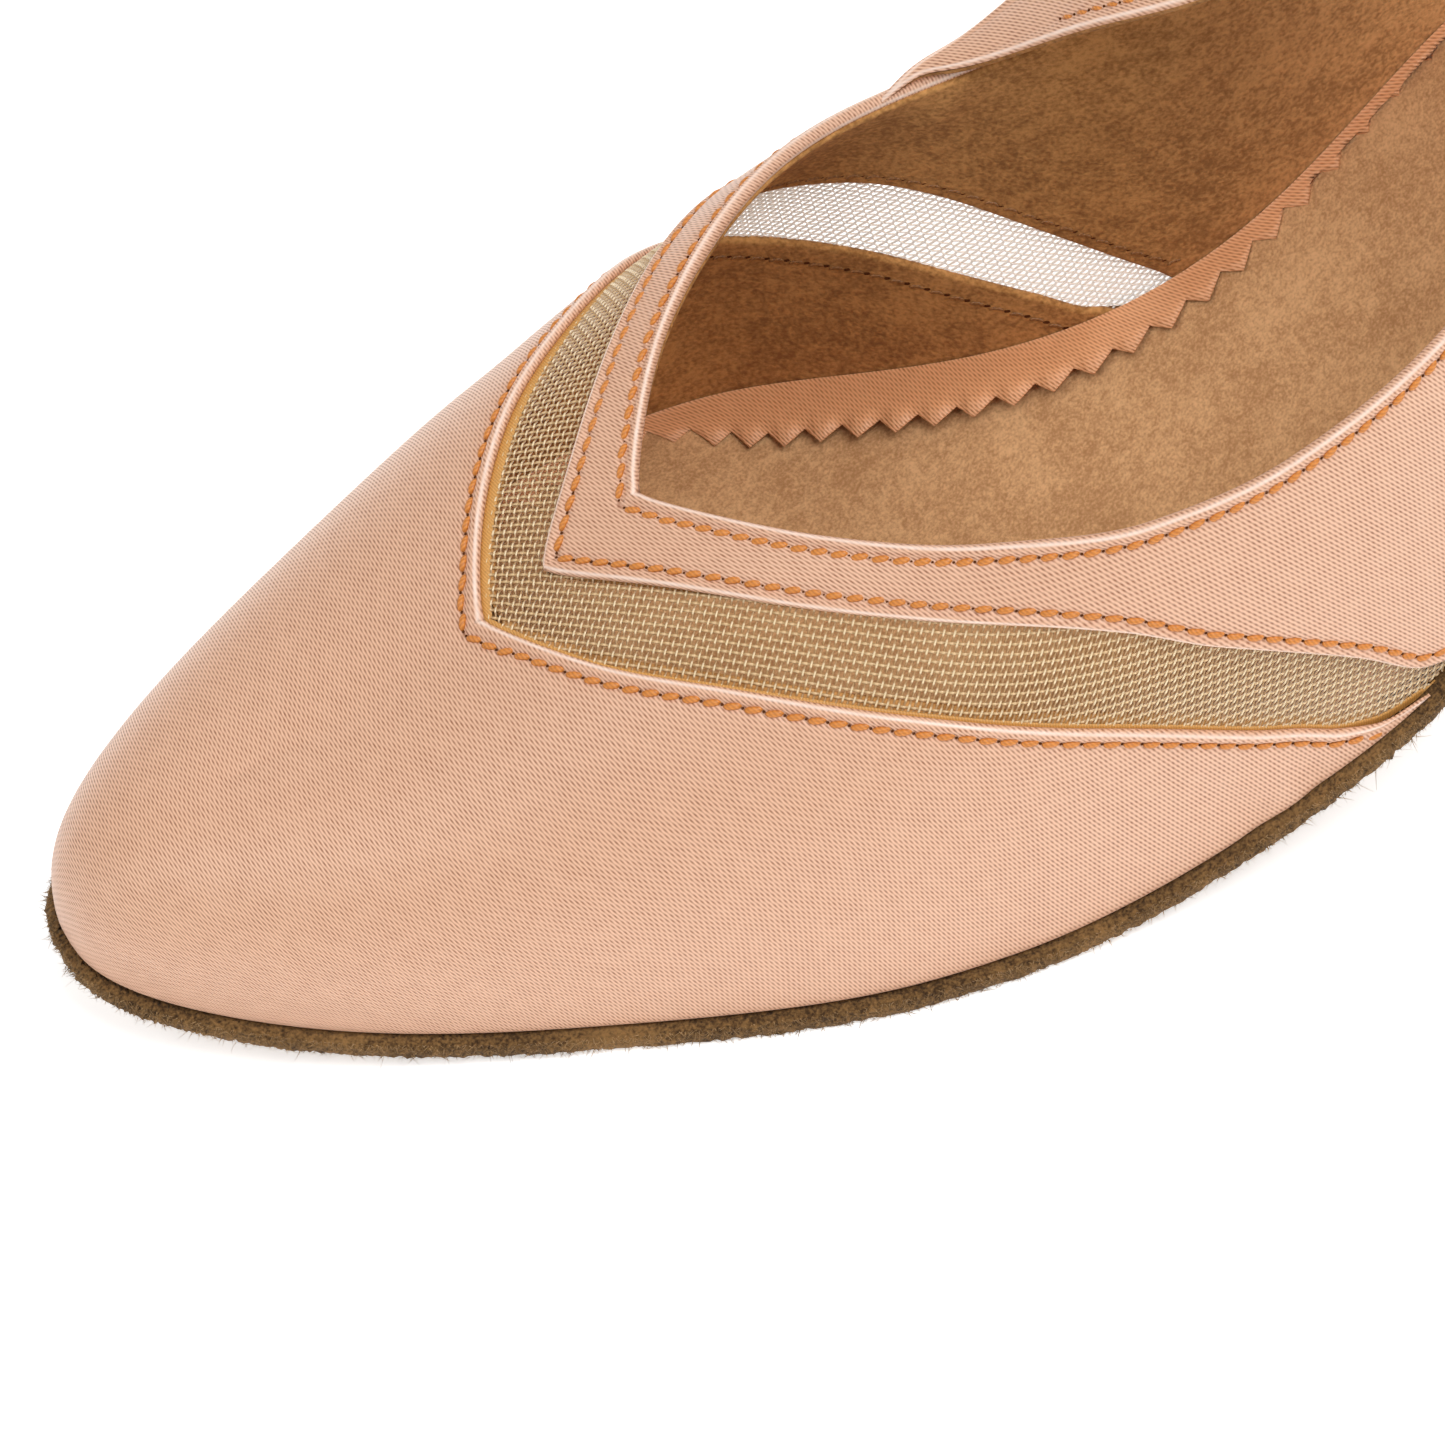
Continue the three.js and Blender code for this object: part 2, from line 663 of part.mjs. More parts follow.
function strapGeometry() {
  const { toe, heel } = strapEdges();
  const rings = [];
  for (let i = 0; i <= STRAP_STEPS; i += 1) {
    const t = i / STRAP_STEPS;
    const a = toe.getPoint(t);
    const b = heel.getPoint(t);
    const middlePoint = new THREE.Vector3().addVectors(a, b).multiplyScalar(0.5);
    const run = new THREE.Vector3().addVectors(toe.getTangent(t), heel.getTangent(t));
    const face = new THREE.Vector3().subVectors(b, a).cross(run).normalize();
    const half = face.clone().multiplyScalar(STRAP_THICKNESS / 2);
    middlePoint.addScaledVector(face, -STRAP_CROWN * Math.min(1, a.distanceTo(b) / STRAP_FULL_WIDTH));
    const above = [a, middlePoint, b].map((point) => point.clone().sub(half));
    const below = [b, middlePoint, a].map((point) => point.clone().add(half));
    rings.push([...above, ...below]);
  }
  const skin = new Skin();
  for (let i = 0; i < rings.length - 1; i += 1) {
    const here = [...rings[i], rings[i][0]];
    const next = [...rings[i + 1], rings[i + 1][0]];
    skin.strip(next, here);
  }
  addStrapEnd(skin, rings[0].toReversed());
  addStrapEnd(skin, rings[rings.length - 1]);
  return skin.geometry();
}

function addStrapEnd(skin, ring) {
  const [a, b, c, d, e, f] = ring;
  skin.triangle(a, f, b);
  skin.triangle(f, e, b);
  skin.triangle(b, e, c);
  skin.triangle(e, d, c);
}

// The shoe
const TURN = THREE.MathUtils.degToRad(5.1);

const shoe = new THREE.Group();
shoe.add(
  piece("upper", upperGeometry(), SATIN),
  piece("instep_strap", strapGeometry(), SATIN),
  piece("insole", insoleGeometry(), SOCK),
  piece("outsole", outsoleGeometry(), SUEDE),
  piece("heel", heelGeometry(), SATIN),
  piece("heel_top_piece", topPieceGeometry(), SUEDE),
);
shoe.rotation.z = TURN;
shoe.updateMatrixWorld(true);
const footprint = new THREE.Box3().setFromObject(shoe, true).getCenter(new THREE.Vector3());
shoe.position.set(-footprint.x, -footprint.y, 0);

export default shoe;
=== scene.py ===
import logging
import math
from dataclasses import dataclass, field
from enum import Enum
from typing import Callable

import bpy
import numpy as np
from mathutils import Matrix, Vector


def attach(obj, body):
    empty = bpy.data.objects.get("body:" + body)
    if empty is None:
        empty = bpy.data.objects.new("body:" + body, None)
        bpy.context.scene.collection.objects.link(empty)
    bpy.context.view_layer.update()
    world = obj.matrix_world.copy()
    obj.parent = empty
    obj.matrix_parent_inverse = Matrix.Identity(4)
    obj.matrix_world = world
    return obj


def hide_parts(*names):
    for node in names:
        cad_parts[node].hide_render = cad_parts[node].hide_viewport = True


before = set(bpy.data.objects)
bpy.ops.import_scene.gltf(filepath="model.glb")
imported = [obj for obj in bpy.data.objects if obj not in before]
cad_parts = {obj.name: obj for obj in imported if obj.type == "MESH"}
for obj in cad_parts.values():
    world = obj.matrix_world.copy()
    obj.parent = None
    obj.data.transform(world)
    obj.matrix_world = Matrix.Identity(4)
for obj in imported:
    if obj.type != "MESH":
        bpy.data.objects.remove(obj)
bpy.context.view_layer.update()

MM = 0.001
LOG = logging.getLogger("dance_shoe")
Array = np.ndarray
Curve = Callable[[Array], Array]
Triple = tuple[float, float, float]
Thing, Material, Socket = bpy.types.Object, bpy.types.Material, bpy.types.NodeSocket

# Sizes that several pieces share, in millimetres

WALL = 1.8
SEW_GAUGE = 1.6
SEW_SINK = 0.24
STITCH_PITCH = 2.05
NO_EDGE = 60.0
MERGE, MERGE_THREADS, MERGE_HAIRS = 1e-3, 1e-4, 1e-5


# Curves through the rows of a table


def table(kind: Callable, *rows: tuple) -> tuple:
    """Rows of one kind, each made from its values."""
    return tuple(kind(*row) for row in rows)


def soft_step(share: Array) -> Array:
    """Goes from 0 to 1 with level ends."""
    share = np.clip(share, 0.0, 1.0)
    return share * share * (3.0 - 2.0 * share)


def lerp(start: Array, end: Array, share: Array) -> Array:
    """Straight way from start to end."""
    return start + (end - start) * share


def through(at: list[float], value: list[float]) -> Curve:
    """Natural cubic spline.

    Args:
        at: rising places.
        value: the value at each place.

    Returns:
        A function of place that runs through every value.
    """
    places, values = np.array(at, float), np.array(value, float)
    step = np.diff(places)
    slope = np.diff(values) / step
    system = np.eye(len(places))
    pull = np.zeros(len(places))
    for i in range(1, len(places) - 1):
        system[i, i - 1 : i + 2] = step[i - 1], 2 * (step[i - 1] + step[i]), step[i]
        pull[i] = 6 * (slope[i] - slope[i - 1])
    bend = np.linalg.solve(system, pull)

    def curve(x: Array) -> Array:
        """Value of the spline at x.

        Args:
            x: places.

        Returns:
            The spline there.
        """
        i = np.clip(np.searchsorted(places, x) - 1, 0, len(step) - 1)
        b = np.clip((x - places[i]) / step[i], 0, 1)
        a = 1 - b
        sag = ((a**3 - a) * bend[i] + (b**3 - b) * bend[i + 1]) * step[i] ** 2 / 6
        return a * values[i] + b * values[i + 1] + sag

    return curve


def along(at: list[float], value: list[float]) -> Curve:
    """Smooth curve that never runs past its rows.

    Args:
        at: rising places.
        value: the value at each place.

    Returns:
        A function of place that runs through every value.
    """
    places, values = np.array(at, float), np.array(value, float)
    step = np.diff(places)
    slope = np.diff(values) / step
    inner = np.zeros(len(places))
    inner[0], inner[-1] = slope[0], slope[-1]
    for i in range(1, len(places) - 1):
        product = slope[i - 1] * slope[i]
        inner[i] = 2 * product / (slope[i - 1] + slope[i]) if product > 0 else 0.0

    def curve(x: Array) -> Array:
        """Value of the curve at x.

        Args:
            x: places.

        Returns:
            The curve there.
        """
        i = np.clip(np.searchsorted(places, x) - 1, 0, len(step) - 1)
        t = np.clip((x - places[i]) / step[i], 0, 1)
        rise = values[i + 1] - values[i]
        start, end = inner[i] * step[i], inner[i + 1] * step[i]
        return values[i] + t * (start + t * (3 * rise - 2 * start - end + t * (start + end - 2 * rise)))

    return curve


def unit(vectors: Array) -> Array:
    """The vectors with length 1."""
    return vectors / np.maximum(np.linalg.norm(vectors, axis=-1, keepdims=True), 1e-9)


def flat_vectors(first: Array, second: Array) -> Array:
    """Vectors of two numbers and a 0."""
    first, second = np.broadcast_arrays(first, second)
    return np.stack([first, second, np.zeros(first.shape)], axis=-1)


def distances(line: Array) -> Array:
    """Distance along a line to each of its points."""
    return np.concatenate([[0], np.cumsum(np.linalg.norm(np.diff(line, axis=0), axis=-1))])


# The last


class Side(Enum):
    """Sides of the foot; a left shoe's lateral side is at +Y."""

    LATERAL = 1
    MEDIAL = -1


LATERAL, MEDIAL = Side


@dataclass(frozen=True)
class TwoSides:
    """A value on each side at one place along the last."""

    along: float
    lateral: float
    medial: float


@dataclass(frozen=True)
class RidgeRow:
    """Height of the last's ridge above the feather edge."""

    along: float
    height: float


FEATHER = table(
    TwoSides,
    (0, 30.1, 13.8), (35, 36.5, 14.4), (65, 34.1, 11.3), (88, 35.4, 11.6), (110, 41.7, 11.4),
    (135, 41.6, 22.9), (155, 39.8, 36.1), (175, 37.6, 37.0), (200, 31.0, 33.7), (225, 25.6, 28.3),
    (242, 20.7, 22.8),
)
RIDGE = table(
    RidgeRow,
    (0, 95), (60, 88), (95, 77), (120, 75), (145, 62.5), (165, 47.8), (185, 37.1), (205, 25.8),
    (225, 18.8),
)
TOPLINE = table(
    TwoSides,
    (0, 0.315, 0.315), (15, 0.296, 0.296), (30, 0.263, 0.265), (50, 0.234, 0.238), (75, 0.244, 0.258),
    (100, 0.283, 0.316), (116, 0.294, 0.356), (130, 0.327, 0.42), (143, 0.41, 0.507),
    (156, 0.575, 0.635), (168, 0.77, 0.79), (179.8, 1, 1),
)
BAND_EDGE = table(
    TwoSides,
    (115, 0, 0), (120, 0.012, 0.032), (127, 0.064, 0.095), (140, 0.196, 0.25), (148, 0.312, 0.34),
    (156, 0.432, 0.455), (172, 0.677, 0.715), (184, 0.88, 0.905), (191.5, 1, 1),
)
VAMP_EDGE = table(
    TwoSides,
    (119.5, 0, 0), (124, 0.003, 0.008), (128.5, 0.0145, 0.03), (133, 0.039, 0.058), (138, 0.072, 0.096),
    (152, 0.21, 0.222), (169, 0.435, 0.475), (182, 0.633, 0.655), (190, 0.77, 0.8), (199.3, 1, 1),
)


def side_curves(rows: tuple[TwoSides, ...], kind: Callable) -> dict[Side, Curve]:
    """One curve for each side of a table.

    Args:
        rows: the table.
        kind: the function that makes a curve, through or along.

    Returns:
        The curve of each side.
    """
    at = [row.along for row in rows]
    return {
        LATERAL: kind(at, [row.lateral for row in rows]),
        MEDIAL: kind(at, [row.medial for row in rows]),
    }


@dataclass
class Last:
    """The form that the shoe is made on, in millimetres, heel at 0 and toe along +X."""

    length: float = 242.0
    sole_thickness: float = 2.3
    seam_gap: float = 0.4
    heel_rise: float = 53.5
    heel_seat_rise: float = 3.0
    heel_seat_at: float = 45.0
    tread_at: float = 163.0
    toe_spring: float = 6.0
    toe_spring_from: float = 190.0
    toe_swing: float = 8.5
    toe_swing_from: float = 120.0
    toe_swing_power: float = 1.5
    toe_rounding_from: float = 165.0
    toe_roundness: float = 2.38
    heel_rounding: float = 26.0
    heel_roundness: float = 2.2
    toe_fan_from: float = 150.0
    toe_fan: float = 20.0
    heel_fan_from: float = 60.0
    girth_width_power: float = 2.38
    girth_height_power: float = 2.91
    counter_bulge: float = 2.2
    counter_bulge_to: float = 62.0
    counter_bulge_power: float = 0.9
    turn: float = math.radians(5.1)
    footprint_centre: tuple[float, float] = (120.377, 14.219)
    half_width: dict[Side, Curve] = field(init=False)
    topline: dict[Side, Curve] = field(init=False)
    ridge_height: Curve = field(init=False)

    def __post_init__(self) -> None:
        """Draws the curves of the tables."""
        self.half_width = side_curves(FEATHER, through)
        self.topline = side_curves(TOPLINE, along)
        self.ridge_height = through([row.along for row in RIDGE], [row.height for row in RIDGE])

    def tread_height(self, x: Array) -> Array:
        """Height of the sole's underside above the floor.

        Args:
            x: places along the last.

        Returns:
            The height at each x.
        """
        arch = self.heel_rise * soft_step((self.tread_at - x) / (self.tread_at - self.heel_seat_at))
        seat = self.heel_seat_rise * np.clip((self.heel_seat_at - x) / self.heel_seat_at, 0, 1)
        toe = np.maximum(0, (x - self.toe_spring_from) / (self.length - self.toe_spring_from))
        return arch + seat + self.toe_spring * toe**2

    def bottom(self, x: Array) -> Array:
        """Height of the last's own bottom above the floor."""
        return self.tread_height(x) + self.sole_thickness + self.seam_gap

    def middle(self, x: Array) -> Array:
        """The last's own line, which swings to the medial side at the toe."""
        toe = np.maximum(0, (x - self.toe_swing_from) / (self.length - self.toe_swing_from))
        return -self.toe_swing * toe**self.toe_swing_power

    @staticmethod
    def rounding(share: Array, roundness: float) -> Array:
        """How far an end that is rounded off has drawn in."""
        return (1 - np.clip(share, 0, 1) ** roundness) ** (1 / roundness)

    def feather_y(self, x: Array, side: Side) -> Array:
        """Place across of the feather edge.

        Args:
            x: places along the last.
            side: side of the foot.

        Returns:
            The place across at each x.
        """
        toe = (x - self.toe_rounding_from) / (self.length - self.toe_rounding_from)
        heel = (self.heel_rounding - x) / self.heel_rounding
        drawn = self.rounding(toe, self.toe_roundness) * self.rounding(heel, self.heel_roundness)
        return self.middle(x) + side.value * self.half_width[side](x) * drawn

    def ridge_at(self, x: Array) -> Array:
        """Place on the ridge that the girth curve from feather edge x runs up to.

        Args:
            x: places along the feather edge.

        Returns:
            The ridge's place for each x.
        """
        reach = self.length - self.toe_fan_from
        t = (x - self.toe_fan_from) / reach
        toe = self.toe_fan_from + reach * t - self.toe_fan * t**3
        back = np.maximum(0, (self.heel_fan_from - x) / self.heel_fan_from)
        heel = np.maximum(x, self.heel_fan_from) - self.heel_fan_from * (back - back**3 / 3)
        return np.where(x > self.toe_fan_from, toe, heel)

    def point(self, x: Array, side: Side, up: Array) -> Array:
        """Point on the last's surface.

        Args:
            x: place along the feather edge.
            side: side of the foot.
            up: share of the way from the feather edge, 0, to the ridge, 1.

        Returns:
            Points with the shape of x and up together, and x, y and z last.
        """
        x, up = np.broadcast_arrays(np.asarray(x, float), np.asarray(up, float))
        ridge = self.ridge_at(x)
        top = self.bottom(ridge) + self.ridge_height(ridge)
        angle = up * math.pi / 2
        inward = 1 - np.maximum(np.cos(angle), 0) ** (2 / self.girth_width_power)
        upward = np.sin(angle) ** (2 / self.girth_height_power)
        point = np.stack(
            [
                lerp(x, ridge, inward),
                lerp(self.feather_y(x, side), self.middle(ridge), inward),
                lerp(self.bottom(x), top, upward),
            ],
            axis=-1,
        )
        level = np.minimum(1, up / self.topline[LATERAL](x))
        fade = soft_step((self.counter_bulge_to - x) / self.counter_bulge_to)
        bulge = self.counter_bulge * fade * np.sin(math.pi * level**self.counter_bulge_power)
        turn = np.arccos(np.clip(1 - x / self.heel_rounding, 0, 1))
        out = flat_vectors(-np.cos(turn), side.value * np.sin(turn))
        return point + out * bulge[..., None]

    def place(self, points: Array) -> Array:
        """Turns points of the last into the shoe's frame.

        Args:
            points: places on the last in millimetres.

        Returns:
            The same places in the shoe's frame, in metres.
        """
        c, s = math.cos(self.turn), math.sin(self.turn)
        x = points[..., 0] * c - points[..., 1] * s - self.footprint_centre[0]
        y = points[..., 0] * s + points[..., 1] * c - self.footprint_centre[1]
        return np.stack([x, y, points[..., 2]], axis=-1) * MM


# Meshes


@dataclass
class Skin:
    """Collects grids of points, joins what coincides and makes one mesh of them."""

    last: Last
    points: list[Array] = field(default_factory=list)
    faces: list[Array] = field(default_factory=list)
    values: dict[str, list[Array]] = field(default_factory=dict)
    count: int = 0

    def add(self, points: Array, faces: Array, values: dict[str, Array] | None = None) -> None:
        """Adds points, their faces and their named vectors.

        Args:
            points: places on the last, one a row.
            faces: four point numbers a row; a triangle repeats its last one.
            values: a vector a point under each name.
        """
        self.points.append(points.reshape(-1, 3))
        self.faces.append(faces + self.count)
        self.count += len(self.points[-1])
        for name, value in (values or {}).items():
            self.values.setdefault(name, []).append(value.reshape(-1, 3))

    def add_grid(
        self,
        points: Array,
        values: dict[str, Array] | None = None,
        flip: bool = False,
        keep: Array | None = None,
        closed: bool = False,
    ) -> None:
        """Adds a grid of points with a face between each four.

        Args:
            points: rows and columns of places.
            values: a vector a point under each name.
            flip: turns the faces over.
            keep: whether a face is wanted, for each four points.
            closed: joins the last column to the first.
        """
        rows, columns = points.shape[:2]
        number = np.arange(rows * columns).reshape(rows, columns)
        if closed:
            number = np.concatenate([number, number[:, :1]], axis=1)
        four = np.stack([number[:-1, :-1], number[1:, :-1], number[1:, 1:], number[:-1, 1:]], axis=-1)
        if keep is not None:
            four = four[keep]
        four = four.reshape(-1, 4)
        self.add(points, four[:, ::-1] if flip else four, values)

    def build(self, name: str, merge: float = MERGE) -> Thing:
        """Makes the mesh.

        Args:
            name: name of the piece.
            merge: points closer than this many millimetres become one.

        Returns:
            The new object, in the shoe's frame.
        """
        points = np.concatenate(self.points)
        faces = np.concatenate(self.faces)
        key = np.round(points / merge).astype(np.int64)
        _, first, which = np.unique(key, axis=0, return_index=True, return_inverse=True)
        faces = which.reshape(-1)[faces]
        same = faces == np.roll(faces, -1, axis=1)
        opposite = (faces[:, 0] == faces[:, 2]) | (faces[:, 1] == faces[:, 3])
        whole = faces[(same.sum(1) == 0) & ~opposite]
        doubled = (same.sum(1) == 1) & ~opposite
        three = faces[doubled][~same[doubled]]
        corner = np.concatenate([whole.reshape(-1), three])
        total = np.repeat([4, 3], [len(whole), len(three) // 3]).astype(np.int32)
        used, corner = np.unique(corner, return_inverse=True)
        first = first[used]
        mesh = bpy.data.meshes.new(name)
        mesh.vertices.add(len(first))
        mesh.vertices.foreach_set("co", self.last.place(points[first]).astype(np.float32).reshape(-1))
        mesh.loops.add(len(corner))
        mesh.loops.foreach_set("vertex_index", corner.reshape(-1).astype(np.int32))
        mesh.polygons.add(len(total))
        mesh.polygons.foreach_set("loop_start", (np.cumsum(total) - total).astype(np.int32))
        mesh.polygons.foreach_set("loop_total", total)
        mesh.update(calc_edges=True)
        mesh.validate()
        for key_name, parts in self.values.items():
            value = np.concatenate(parts)[first].astype(np.float32)
            attribute = mesh.attributes.new(key_name, "FLOAT_VECTOR", "POINT")
            attribute.data.foreach_set("vector", value.reshape(-1))
        mesh.shade_smooth()
        piece = bpy.data.objects.new(name, mesh)
        bpy.context.scene.collection.objects.link(piece)
        return piece


@dataclass
class Girths:
    """Girth curves of the last at a row of stations, measured from the feather edge up to the ridge."""

    last: Last
    xs: Array
    samples: int = 170
    crowding: float = 1.7
    share: Array = field(init=False)
    points: dict[Side, Array] = field(init=False)
    normals: dict[Side, Array] = field(init=False)
    lengths: dict[Side, Array] = field(init=False)

    def __post_init__(self) -> None:
        """Samples both sides and lets them agree where they meet."""
        self.share = np.linspace(0, 1, self.samples) ** self.crowding
        self.points, self.normals, self.lengths = {}, {}, {}
        for side in Side:
            points = self.last.point(self.xs[:, None], side, self.share[None, :])
            ahead, upward = np.gradient(points, axis=0), np.gradient(points, axis=1)
            self.points[side] = points
            self.normals[side] = unit(np.cross(upward, ahead) * side.value)
            steps = np.linalg.norm(np.diff(points, axis=1), axis=-1)
            self.lengths[side] = np.pad(np.cumsum(steps, axis=1), ((0, 0), (1, 0)))
        lateral, medial = self.normals[LATERAL], self.normals[MEDIAL]
        ends = [(slice(None), -1)]
        if self.xs[0] <= 0:
            ends.append((0, slice(None)))
        if self.xs[-1] >= self.last.length:
            ends.append((-1, slice(None)))
        for end in ends:
            shared = unit(lateral[end] + medial[end])
            lateral[end] = shared
            medial[end] = shared

    def ridge(self, side: Side) -> Array:
        """Whole length of each girth curve on one side."""
        return self.lengths[side][:, -1]

    def at(self, side: Side, length: Array) -> tuple[Array, Array]:
        """Points and outward directions at given lengths up each girth curve.

        Args:
            side: side of the foot.
            length: a row of lengths for each station.

        Returns:
            Points and directions, with x, y and z last.
        """
        points = np.empty(length.shape + (3,))
        normals = np.empty_like(points)
        for i, row in enumerate(length):
            known = self.lengths[side][i]
            j = np.clip(np.searchsorted(known, row) - 1, 0, len(known) - 2)
            t = np.clip((row - known[j]) / np.maximum(known[j + 1] - known[j], 1e-9), 0, 1)[:, None]
            points[i] = lerp(self.points[side][i, j], self.points[side][i, j + 1], t)
            normals[i] = lerp(self.normals[side][i, j], self.normals[side][i, j + 1], t)
        return points, unit(normals)

    def length_of(self, side: Side, up: Array) -> Array:
        """Length up each girth curve at one share for each station."""
        return np.array([np.interp(u, self.share, row) for u, row in zip(up, self.lengths[side])])


@dataclass
class EdgeRun:
    """One side of a panel's edge on a row of girth curves; past its ends it goes straight on."""

    length: Array
    slant: Array


@dataclass
class PanelEdge:
    """Line that climbs from the feather edge to its point on the ridge, and the row sewn along it."""

    rows: tuple[TwoSides, ...]
    above: bool
    reach: float = 5.0
    most_slant: float = 2.6
    gauge: float = SEW_GAUGE
    samples: int = 240
    row_samples: int = 300
    nudge: float = 0.01

    @property
    def way(self) -> int:
        """Sign of the way up the girth into the panel."""
        return 1 if self.above else -1

    def on(self, girths: Girths, side: Side) -> EdgeRun:
        """Measures the edge.

        Args:
            girths: the girth curves that it crosses.
            side: side of the foot.

        Returns:
            Length up each girth curve, and how much longer than straight across a way up it is.
        """
        xs = girths.xs
        start, end = self.rows[0].along, self.rows[-1].along
        share = side_curves(self.rows, along)[side]
        length = girths.length_of(side, share(np.clip(xs, start, end)))
        fine = np.linspace(start, end, self.samples)
        line = girths.last.point(fine, side, share(fine))
        lower = girths.last.point(fine, side, np.maximum(share(fine) - self.nudge, 0))
        upper = girths.last.point(fine, side, np.minimum(share(fine) + self.nudge, 1))
        ahead, upward = unit(np.gradient(line, axis=0)), unit(upper - lower)
        across = np.linalg.norm(np.cross(ahead, upward), axis=-1)
        slant = np.clip(1 / np.maximum(across, 1e-3), 1, self.most_slant)
        ends = ((xs > end, end, end - self.reach), (xs < start, start, start + self.reach))
        for past, end_at, near in ends:
            if past.any():
                both = np.array([near, end_at])
                known = Girths(girths.last, both).length_of(side, share(both))
                rise = (known[1] - known[0]) / (end_at - near)
                length = np.where(past, known[1] + rise * (xs - end_at), length)
        return EdgeRun(length, np.interp(xs, fine, slant))

    def row(self, last: Last, side: Side) -> tuple[Array, Array]:
        """Stations that the sewn row crosses and the distance of each along it from its point.

        Args:
            last: the last.
            side: side of the foot.

        Returns:
            The stations and their distances.
        """
        xs = np.linspace(self.rows[0].along, self.rows[-1].along + self.reach, self.row_samples)
        girths = Girths(last, xs)
        edge = self.on(girths, side)
        length = edge.length + self.way * edge.slant * self.gauge
        good = (length > 0) & (length <= girths.ridge(side))
        points, _ = girths.at(side, length[:, None])
        return xs[good], distances(points[good, 0][::-1])[::-1]


@dataclass(frozen=True)
class FoldRow:
    """Point of an edge's cross-section: how far in from the edge, and how far out from the face."""

    inward: float
    out: float


Section = tuple[FoldRow, ...]


def ways_of(section: Section) -> tuple[Array, Array]:
    """How far in and how far out the rows of a section are."""
    return np.array([row.inward for row in section]), np.array([row.out for row in section])


def unrolled(section: Section) -> Array:
    """Distance in from the edge of each row of a section once it is laid flat, below 0 past the fold."""
    inward, out = ways_of(section)
    return inward[0] - np.concatenate([[0], np.cumsum(np.hypot(np.diff(inward), np.diff(out)))])


@dataclass(frozen=True)
class Crease:
    """Soft trough in the upper between two given places; a ridge where its height is above 0."""

    side: Side
    start: tuple[float, float]
    end: tuple[float, float]
    width: float
    height: float

    def lift(self, last: Last, side: Side, points: Array) -> Array:
        """How far it moves the material out.

        Args:
            last: the last.
            side: side of the foot that the points are on.
            points: places on the last.

        Returns:
            The distance out at each point.
        """
        if side is not self.side:
            return np.zeros(points.shape[:-1])
        start = last.point(self.start[0], side, self.start[1])
        way = last.point(self.end[0], side, self.end[1]) - start
        share = np.clip((points - start) @ way / (way @ way), 0, 1)
        gap = np.linalg.norm(points - start - share[..., None] * way, axis=-1)
        return self.height * np.exp(-((gap / self.width) ** 2)) * (0.35 + 0.65 * np.sin(math.pi * share))


VAMP_CREASES = table(
    Crease,
    (LATERAL, (138.0, 0.0), (142.0, 0.05), 2.0, -0.35),
    (LATERAL, (134.5, 0.0), (137.5, 0.035), 1.7, 0.3),
    (LATERAL, (131.5, 0.0), (133.5, 0.02), 1.6, -0.3),
    (LATERAL, (172.0, 0.12), (188.0, 0.3), 5.0, -0.25),
    (LATERAL, (178.0, 0.42), (188.0, 0.56), 5.0, -0.2),
    (MEDIAL, (170.0, 0.15), (182.0, 0.42), 5.0, -0.28),
    (MEDIAL, (160.0, 0.06), (168.0, 0.22), 4.0, -0.22),
)
QUARTER_CREASES = table(
    Crease,
    (LATERAL, (120.0, 0.09), (112.0, 0.2), 4.5, -0.3),
    (LATERAL, (97.0, 0.05), (88.0, 0.17), 4.0, -0.3),
    (LATERAL, (64.0, 0.04), (60.0, 0.15), 4.5, -0.28),
    (LATERAL, (30.0, 0.07), (36.0, 0.19), 5.0, -0.28),
    (MEDIAL, (122.0, 0.14), (116.0, 0.27), 4.0, -0.3),
    (MEDIAL, (92.0, 0.06), (84.0, 0.19), 4.0, -0.3),
    (MEDIAL, (58.0, 0.05), (55.0, 0.16), 4.5, -0.28),
    (MEDIAL, (28.0, 0.08), (34.0, 0.2), 5.0, -0.28),
)
LINING_CREASES = table(
    Crease,
    (MEDIAL, (133.0, 0.41), (136.5, 0.34), 1.7, -0.4),
    (MEDIAL, (112.0, 0.26), (117.0, 0.16), 3.5, -0.35),
    (MEDIAL, (84.0, 0.2), (88.0, 0.1), 4.0, -0.3),
)


